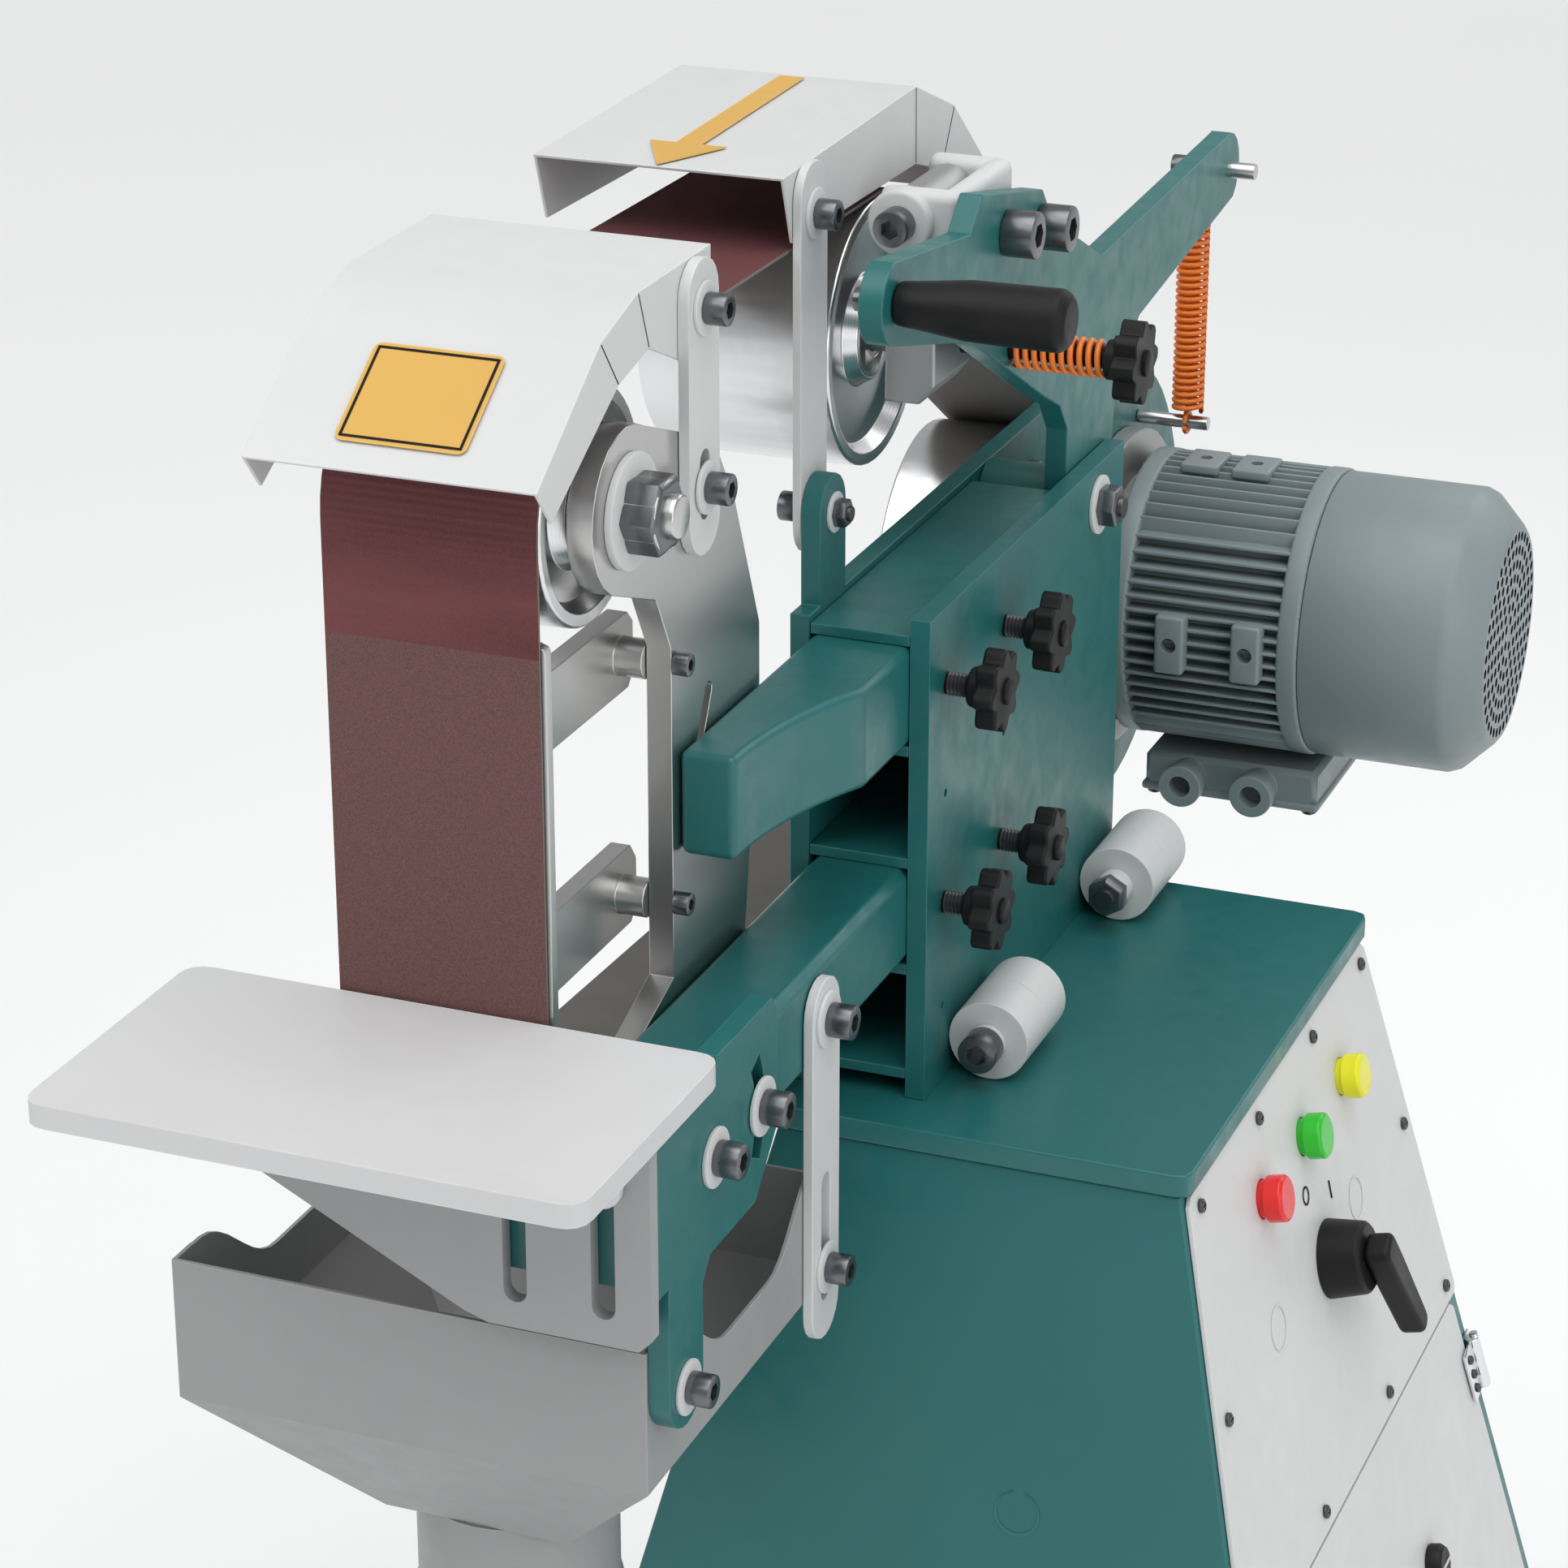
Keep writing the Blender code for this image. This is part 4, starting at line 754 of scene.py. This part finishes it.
def makeBelt():
    belt = copyPiece(frame["nodes"]["belt"], "abrasiveBand", frame["nodes"]["belt"].matrix_world.copy())
    openMerged(belt, 0.01 * mm)
    bpy.ops.mesh.normals_make_consistent(inside=False)
    bpy.ops.object.mode_set(mode="OBJECT")
    belt.data.materials.clear()
    belt.data.materials.append(grit)
    belt.data.materials.append(backing)
    inside = at(0, 300, 90)
    for face in belt.data.polygons:
        facing = face.normal.dot(inside - face.center)
        face.material_index = 1 if facing > 0 or abs(face.normal.x) > 0.7 else 0
    finishPiece(belt, None, "head_frame", 30)
    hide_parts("belt")


makeBelt()

# motor: perforated fan cover, fins, end rings, pads and glands


def makeFanCover():
    settings = {"rings": ((8, 5), (16, 11), (24, 17), (32, 23), (40, 29), (48, 35), (56, 41)),
                "holeRadius": 2.9, "holeDepth": 8.0, "sunk": 4.0}
    cover = copyPiece(frame["nodes"]["motor_fan_cover"], "fanCover",
                      frame["nodes"]["motor_fan_cover"].matrix_world.copy())
    openMerged(cover, 0.01 * mm)
    bpy.ops.mesh.dissolve_limited(angle_limit=0.01)
    bpy.ops.object.mode_set(mode="OBJECT")
    cover.data.materials.clear()
    cover.data.materials.append(motorPaint)
    roundEdges(cover, 1.0)
    low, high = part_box("motor_fan_cover")
    centre = onMidline(low, high, high[0])
    holes = []
    for radius, count in settings["rings"]:
        for number in range(count):
            angle = math.tau * number / count
            spot = centre + Vector((-settings["sunk"] * mm, radius * mm * math.cos(angle),
                                    radius * mm * math.sin(angle)))
            holes.append(addRound("hole", spot, right, settings["holeRadius"], settings["holeDepth"], 12))
    cutter = joinPieces("holes", holes)
    cutter.data.materials.append(shadowBlack)
    cover.data.materials.append(shadowBlack)
    cutWith(cover, cutter)
    finishPiece(cover, None, "head_frame", 32)
    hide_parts("motor_fan_cover")


makeFanCover()


def makeFins():
    # cooling fins on a round core, parallel to each other on each of its four sides
    settings = {"core": 71.0, "tip": 82.0, "thick": 2.0, "pitch": 7.6, "eachWay": 7, "rooted": 3.0}
    low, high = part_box("motor_body")
    centre = onMidline(low, high, low[0])
    length = (high[0] - low[0]) / mm
    core = addRound("finnedBody", centre, right, settings["core"], length, 72)
    fins = [core]
    for quarter in range(4):
        outward = Vector((0, math.cos(quarter * math.pi / 2), math.sin(quarter * math.pi / 2)))
        across = Vector((0, -outward.z, outward.y))
        for step in range(-settings["eachWay"], settings["eachWay"] + 1):
            offset = step * settings["pitch"]
            reach = math.sqrt(settings["tip"] ** 2 - offset ** 2)
            inner = math.sqrt(settings["core"] ** 2 - offset ** 2) - settings["rooted"]
            middle = centre + right * length * mm / 2 + across * offset * mm
            middle += outward * (reach + inner) / 2 * mm
            depth = reach - inner
            along = outward * depth
            size = (length, max(settings["thick"], abs(along.y)), max(settings["thick"], abs(along.z)))
            fin = addBlock("fin", middle, size)
            roundEdges(fin, 0.6)
            fins.append(fin)
    body = joinPieces("finnedBody", fins)
    finishPiece(body, motorPaint, "head_frame", 32)
    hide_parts("motor_body")


makeFins()
motorLow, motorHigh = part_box("motor_body")
motorMiddle = onMidline(motorLow, motorHigh, 0)
motorTrim = {"ringRadius": 82.6, "ringDepth": 12, "footX": (128, 172), "footSize": (17, 12, 34),
             "glandX": (130, 172), "glandZ": -139.8, "glandRadius": 12.6, "glandDepth": 9,
             "lidSize": (105, 93, 5), "crownX": (122, 152), "crownSize": (22, 30, 6)}


def motorSpot(x, ahead, rise):
    # a place at x, in millimetres ahead of and above the motor's middle line
    return Vector((at(x, 0, 0).x, motorMiddle.y - ahead * mm, motorMiddle.z + rise * mm))


def finishMotorPart(piece):
    finishPiece(piece, motorPaint, "head_frame", 32)


for name, x in (("endRingFront", motorLow[0]), ("endRingRear", motorHigh[0] - motorTrim["ringDepth"] * mm)):
    ring = addRound(name, onMidline(motorLow, motorHigh, x), right, motorTrim["ringRadius"],
                    motorTrim["ringDepth"], 64)
    roundEdges(ring, 2.0, 3)
    finishMotorPart(ring)
for number, x in enumerate(motorTrim["footX"]):
    pad = addBlock(f"footPad{number}", motorSpot(x, 83, 0), motorTrim["footSize"])
    roundEdges(pad, 2.0, 3)
    boreHole(pad, motorSpot(x, 80, 0), front, 4.5, 20)
    finishMotorPart(pad)
boxLow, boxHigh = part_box("motor_terminal_box")
for number, x in enumerate(motorTrim["glandX"]):
    spot = Vector((at(x, 0, 0).x, boxLow[1] + 0.004, at(0, 0, motorTrim["glandZ"]).z))
    nut = addRound(f"glandNut{number}", spot, front, motorTrim["glandRadius"], motorTrim["glandDepth"], 40)
    shapeTop(nut, front, 2.0, 0.0)
    roundEdges(nut, 1.0, 3, 25)
    boreHole(nut, spot, front, 6.5, 20)
    finishMotorPart(nut)
# lid and corner screws under the terminal box
lidMiddle = Vector(((boxLow[0] + boxHigh[0]) / 2, at(0, 750, 0).y, boxLow[2] + 0.0035))
lid = addBlock("terminalLid", lidMiddle, motorTrim["lidSize"])
roundEdges(lid, 2.0, 3)
finishMotorPart(lid)
for number, (sideX, sideY) in enumerate(((-1, -1), (1, -1), (1, 1), (-1, 1))):
    corner = lidMiddle + Vector((sideX * 46, sideY * 40, -2.5)) * mm
    fasten(f"lidScrew{number}", "pan", corner, down, "head_frame", 1.2)
# eye pads on the crown of the casting
for number, x in enumerate(motorTrim["crownX"]):
    eye = addBlock(f"crownPad{number}", motorSpot(x, 4, 81.5), motorTrim["crownSize"])
    roundEdges(eye, 1.5, 3)
    boreHole(eye, motorSpot(x, 4, 70), up, 3.6, 30)
    finishMotorPart(eye)
print("motor dressed")

# wheels: bearings in the open faces, caps on the closed ones


def makeBearing(name, node, body, radius):
    settings = {"inset": 1.2 * mm, "behind": 4 * mm, "depth": 4.8, "boreShare": 0.58}
    low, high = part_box(node)
    centre = onMidline(low, high, high[0] - settings["inset"])
    ring = addRound(name, centre - right * settings["behind"], right, radius, settings["depth"], 40)
    boreHole(ring, centre - right * 10 * mm, right, radius * settings["boreShare"], 20, 32)
    roundEdges(ring, 0.5)
    finishPiece(ring, boltZinc, body)


def makeHubCap(name, node, body, radius, boltSize):
    # shallow turned cap and centre screw on the wheel's closed face
    settings = {"sunk": 0.4 * mm, "height": 2.2, "rimShare": 0.3, "dish": -0.9, "screwOut": 1.2 * mm}
    low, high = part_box(node)
    centre = onMidline(low, high, low[0] + settings["sunk"])
    cap = addRound(name, centre, left, radius, settings["height"], 56)
    shapeTop(cap, left, radius * settings["rimShare"], settings["dish"])
    roundEdges(cap, 0.4, 2, 25)
    finishPiece(cap, nodeFinish[node], body)
    fasten(name + "Screw", "socket", centre + left * settings["screwOut"], left, body, boltSize)


makeHubCap("topCap", "top_wheel", "top_wheel", 30.0, 0.55)
makeHubCap("lowCap", "low_wheel", "low_wheel", 22.0, 0.5)
makeHubCap("trackingHub", "tracking_wheel", "tracking_wheel", 38.0, 0.6)
makeHubCap("driveCap", "drive_wheel", "drive_wheel", 46.0, 0.75)
makeBearing("topBearing", "top_wheel", "top_wheel", 23.0)
makeBearing("trackingBearing", "tracking_wheel", "tracking_wheel", 23.0)
makeBearing("lowBearing", "low_wheel", "low_wheel", 17.0)

# knobs: caps in the star heads, thread on the studs


def makeThread(name, spot, direction, radius, length, body, pitch=1.6):
    settings = {"thick": 0.62, "sunk": 0.45}
    turns = max(2, int(length / pitch))
    deselect()
    bpy.ops.mesh.primitive_circle_add(vertices=4, radius=pitch * settings["thick"] * mm,
                                      location=((radius - pitch * settings["sunk"]) * mm, 0, 0),
                                      rotation=(math.pi / 2, 0, 0))
    thread = startPiece(name)
    settle(thread)
    screw = thread.modifiers.new("wind", "SCREW")
    screw.iterations = turns
    screw.screw_offset = length * mm / turns
    screw.steps = 24
    screw.render_steps = 24
    applyModifier(thread, screw)
    closeEnds(thread)
    thread.data.transform(placeMatrix(spot, direction))
    return finishPiece(thread, boltDark, body, 30)


knobTrim = {"capRadius": 6.5, "capHeight": 2.2, "capSunk": 0.5 * mm, "threadX": 128.2, "threadRadius": 5.6,
            "threadLength": 12.5}
for number in range(1, 5):
    low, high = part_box(f"lock_knob_{number}")
    spot = onMidline(low, high, high[0] - knobTrim["capSunk"])
    cap = addRound(f"knobCap{number}", spot, right, knobTrim["capRadius"], knobTrim["capHeight"], 24)
    shapeTop(cap, right, 1.6, 0.8)
    roundEdges(cap, 0.4)
    finishPiece(cap, blackPlastic, f"lock_knob_{number}", 32)
    threadSpot = Vector((at(knobTrim["threadX"], 0, 0).x, spot.y, spot.z))
    makeThread(f"knobThread{number}", threadSpot, right, knobTrim["threadRadius"],
               knobTrim["threadLength"], f"lock_knob_{number}")
low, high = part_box("tracking_screw")
spot = onMidline(low, high, high[0] - knobTrim["capSunk"])
cap = addRound("trackingCap", spot, right, knobTrim["capRadius"], knobTrim["capHeight"], 24)
shapeTop(cap, right, 1.6, 0.8)
finishPiece(cap, blackPlastic, "tracking_screw", 32)
print("wheels and knobs dressed")

# control panel and door, in the slanted plane of the right face
faceNormal = Vector(joints["switch_turn"]["axis"])
faceUp = Vector((-faceNormal.z, 0, faceNormal.x))
switchSpot = pivotOf("switch_turn")


def onFace(y, z, lift=0.0):
    # a point on the panel's front from the work datum's y and z
    rise = (at(0, 0, z).z - switchSpot.z) / faceUp.z
    spot = switchSpot + faceUp * rise + faceNormal * lift * mm
    return Vector((spot.x, at(0, y, 0).y, spot.z))


panelScrews = ((253, -169), (353, -169), (454, -169), (551, -169), (232, -270), (572, -270),
               (212, -376), (337, -376), (466, -376), (592, -376))
for number, (y, z) in enumerate(panelScrews):
    fasten(f"panelScrew{number}", "pan", onFace(y, z), faceNormal, "base", 1.0)
# generic off and on marks by the switch: a ring and a bar
mark = addRound("markRing", onFace(399, -232), faceNormal, 5.0, 0.25, 32)
boreHole(mark, onFace(399, -232, -2), faceNormal, 3.9, 6, 32)
finishPiece(mark, shadowBlack, "base", 32)
mark = addBlock("markBar", Vector((0, 0, 0)), (10, 1.6, 0.5))
roundEdges(mark, 0.2)
mark.data.transform(placeMatrix(onFace(437, -246), faceNormal))
finishPiece(mark, shadowBlack, "base", 32)
for number, (y, z) in enumerate(((474, -268), (324, -268))):
    ring = addRound(f"knockOut{number}", onFace(y, z), faceNormal, 11.5, 0.3, 48)
    boreHole(ring, onFace(y, z, -2), faceNormal, 10.9, 6, 48)
    finishPiece(ring, lightPaint, "base", 32)
lockSpot = pivotOf("door_lock_turn") + faceNormal * 0.0113
blade = addBlock("lockBlade", Vector((0, 0, 0)), (2.2, 14, 1.6))
roundEdges(blade, 0.3)
blade.data.transform(placeMatrix(lockSpot, faceNormal))
finishPiece(blade, boltZinc, "door_lock")
hingeTrim = {"leafSize": (17, 32, 1.8), "leafAcross": 11.5 * mm, "leafSunk": 0.3 * mm,
             "screwPitch": 10 * mm, "screwAcross": 14 * mm, "screwOut": 0.7 * mm, "pinEnd": 16.5 * mm,
             "pinOut": 1.5 * mm, "pinRadius": 2.6}
for side in ("upper", "lower"):
    low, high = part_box("door_hinge_" + side)
    middle = (Vector(low) + Vector(high)) / 2
    along = Vector(joints["door_swing"]["axis"])
    inwards = along.cross(faceNormal)
    leafFrame = Matrix((inwards, along, faceNormal)).transposed().to_4x4()
    if inwards.y > 0:
        leafFrame = Matrix((-inwards, -along, faceNormal)).transposed().to_4x4()
    leaf = addBlock("hingeLeaf_" + side, Vector((hingeTrim["leafAcross"], 0, 0)), hingeTrim["leafSize"])
    roundEdges(leaf, 0.5)
    leaf.data.transform(Matrix.Translation(middle - faceNormal * hingeTrim["leafSunk"]) @ leafFrame)
    finishPiece(leaf, plating, "service_door", 32)
    for number in range(3):
        spot = middle + leafFrame.to_3x3() @ Vector((hingeTrim["screwAcross"],
                                                     (number - 1) * hingeTrim["screwPitch"],
                                                     hingeTrim["screwOut"]))
        fasten(f"leafScrew_{side}{number}", "pan", spot, faceNormal, "service_door", 0.75)
    for number, sign in enumerate((-1, 1)):
        spot = middle + along * sign * hingeTrim["pinEnd"] + faceNormal * hingeTrim["pinOut"]
        pin = addRound(f"hingePin_{side}{number}", spot, along * sign, hingeTrim["pinRadius"], 2.0, 20)
        roundEdges(pin, 0.5)
        finishPiece(pin, plating, "base", 32)
print("panel dressed")

# round head at the top of the table's right slot
head = addRound("slotHead", at(107, -70.2, -33), front, 9.5, 4.5, 36)
shapeTop(head, front, 2.5, 1.2)
roundEdges(head, 0.8, 3)
finishPiece(head, lightPaint, "table_tilt", 32)

# guard plate and arrow


def makePlate(name, corners, thick, material, body, matrix):
    deselect()
    bpy.ops.mesh.primitive_grid_add(x_subdivisions=1, y_subdivisions=1, size=1)
    plate = startPiece(name)
    shape = bmesh.new()
    loop = [shape.verts.new((x * mm, y * mm, 0)) for x, y in corners]
    shape.faces.new(loop)
    shape.to_mesh(plate.data)
    shape.free()
    wall = plate.modifiers.new("wall", "SOLIDIFY")
    wall.thickness = thick * mm
    wall.offset = 1
    applyModifier(plate, wall)
    plate.data.transform(matrix)
    return finishPiece(plate, material, body)


def cornerRound(halfWidth, halfHeight, radius):
    points = []
    for number, (x, y) in enumerate(((1, 1), (-1, 1), (-1, -1), (1, -1))):
        for step in range(6):
            angle = math.pi / 2 * (number + step / 5)
            points.append((x * (halfWidth - radius) + radius * math.cos(angle),
                           y * (halfHeight - radius) + radius * math.sin(angle)))
    return points


slope = math.atan2(45.0, 65.0)
labelTurn = Matrix.Translation(at(0, -2.5, 275.9) + Vector((0, 0, 0.0004))) @ Matrix.Rotation(slope, 4, "X")
makePlate("guardPlate", cornerRound(30, 26, 4), 0.6, yellowPaint, "front_guard", labelTurn)
borderLines = ((0, 23.5, 54, 1.2), (0, -23.5, 54, 1.2), (27.4, 0, 1.2, 48), (-27.4, 0, 1.2, 48))
for number, (x, y, width, height) in enumerate(borderLines):
    corners = [(x + signX * width / 2, y + signY * height / 2)
               for signX, signY in ((-1, -1), (1, -1), (1, 1), (-1, 1))]
    makePlate(f"plateBorder{number}", corners, 0.9, shadowBlack, "front_guard", labelTurn)
topSlope = math.atan2(4.5, 177.0)
arrowTurn = Matrix.Translation(at(-11, 355, 311.3)) @ Matrix.Rotation(topSlope, 4, "X")
arrowCorners = ((-6.5, 85), (-6.5, -47), (-19.5, -47), (0, -85), (19.5, -47), (6.5, -47), (6.5, 85))
makePlate("runArrow", arrowCorners, 0.6, yellowPaint, "top_guard", arrowTurn)


def makeSeams(name, body, sides, seams):
    # the dark line where two folded side flanges meet at a bend
    settings = {"radius": 0.3, "inset": 1.0}
    for side in sides:
        for number, (start, end) in enumerate(seams):
            first, last = at(side, *start), at(side, *end)
            along = (last - first).normalized()
            length = (last - first).length / mm - 2 * settings["inset"]
            edge = "Right" if side > 0 else "Left"
            seam = addRound(f"{name}{edge}{number}", first + along * settings["inset"] * mm, along,
                            settings["radius"], length, 8)
            finishPiece(seam, shadowBlack, body, 60)


makeSeams("frontSeam", "front_guard", (-67, 67), (((30, 298), (48, 275)), ((69, 309.5), (80, 282))))
makeSeams("topSeam", "top_guard", (-74, 52), (((447, 313), (448, 273.5)), ((504, 291), (486, 262))))
print("guards dressed")

# pedestal knock-out and spout bead
knockOut = {"x": 202, "z": -327, "topZ": -158.3, "topHalf": 164.5, "flare": 0.212, "radius": 11.5,
            "inner": 10.7}
frontNormal = Vector((0, -1, knockOut["flare"])).normalized()
pedLow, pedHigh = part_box("pedestal")
reach = knockOut["topHalf"] - knockOut["flare"] * (knockOut["z"] - knockOut["topZ"])
knockSpot = Vector((at(knockOut["x"], 0, 0).x, (pedLow[1] + pedHigh[1]) / 2 - reach * mm,
                    at(0, 0, knockOut["z"]).z))
ring = addRound("knockOutFront", knockSpot, frontNormal, knockOut["radius"], 0.5, 48)
boreHole(ring, knockSpot + back * 0.004, frontNormal, knockOut["inner"], 12, 48)
finishPiece(ring, teal, "base", 32)
low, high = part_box("hopper_spout")
beadTrim = {"inset": 0.4 * mm, "radius": 1.8 * mm, "rise": 8 * mm}
deselect()
bpy.ops.mesh.primitive_torus_add(major_radius=(high[0] - low[0]) / 2 - beadTrim["inset"],
                                 minor_radius=beadTrim["radius"], major_segments=64, minor_segments=10,
                                 location=((low[0] + high[0]) / 2, (low[1] + high[1]) / 2,
                                           low[2] + beadTrim["rise"]))
bead = startPiece("spoutBead")
finishPiece(bead, hopperPaint, "table_tilt", 60)
print("pedestal and spout dressed")

for kind in list(fastenerStore):
    bpy.data.objects.remove(fastenerStore[kind])

# floor, light and camera
deselect()
bpy.ops.mesh.primitive_plane_add(size=80, location=(0, 0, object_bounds()[0][2] - 0.0005))
floor = startPiece("floor")
floorMaterial, nodes, links, shader = newMaterial("floorPale")
cloud = addNoise(nodes, links, 1.4, 3.0)
pale = mixColor(nodes, links, spread(nodes, links, cloud, 0.0, 1.0), (0.85, 0.85, 0.85), (0.84, 0.84, 0.84))
links.new(pale, shader.inputs["Base Color"])
shader.inputs["Roughness"].default_value = 0.85
floor.data.materials.append(floorMaterial)

studio = {"key": ((-1.9, -1.5, 3.0), 1.6, 20), "fill": ((2.6, -1.6, 1.8), 2.4, 20),
          "rim": ((0.8, 2.4, 2.6), 1.8, 14), "top": ((0.1, -0.2, 3.4), 1.4, 6)}
for name, (place, size, power) in studio.items():
    bpy.ops.object.light_add(type="AREA", location=place)
    lamp = bpy.context.active_object
    lamp.name = name
    lamp.data.size = size
    lamp.data.energy = power
    lamp.rotation_euler = (Vector((0, 0, 0.9)) - Vector(place)).to_track_quat("-Z", "Y").to_euler()
room = {"sunTilt": 19, "sunLean": 8, "sunPower": 1.7, "sunSpread": 70, "skyColor": (0.96, 0.97, 0.98, 1),
        "skyPower": 0.45}
bpy.ops.object.light_add(type="SUN", location=(0, 0, 5),
                         rotation=(math.radians(room["sunTilt"]), math.radians(room["sunLean"]), 0))
sky = bpy.context.active_object
sky.name = "softSky"
sky.data.energy = room["sunPower"]
sky.data.angle = math.radians(room["sunSpread"])
world = bpy.data.worlds.new("paleRoom")
world.use_nodes = True
world.node_tree.nodes["Background"].inputs["Color"].default_value = room["skyColor"]
world.node_tree.nodes["Background"].inputs["Strength"].default_value = room["skyPower"]
bpy.context.scene.world = world

cameraPlace = at(773.8, -1541.5, 808.9)
lookAlong = Vector((-0.3423, 0.8596, -0.3795))
bpy.ops.object.camera_add(location=cameraPlace, rotation=lookAlong.to_track_quat("-Z", "Y").to_euler())
camera = bpy.context.active_object
camera.data.lens = 100
camera.data.sensor_width = 36
camera.data.clip_end = 40
bpy.context.scene.camera = camera
bpy.context.scene.view_settings.view_transform = "Standard"

print("scene ready")
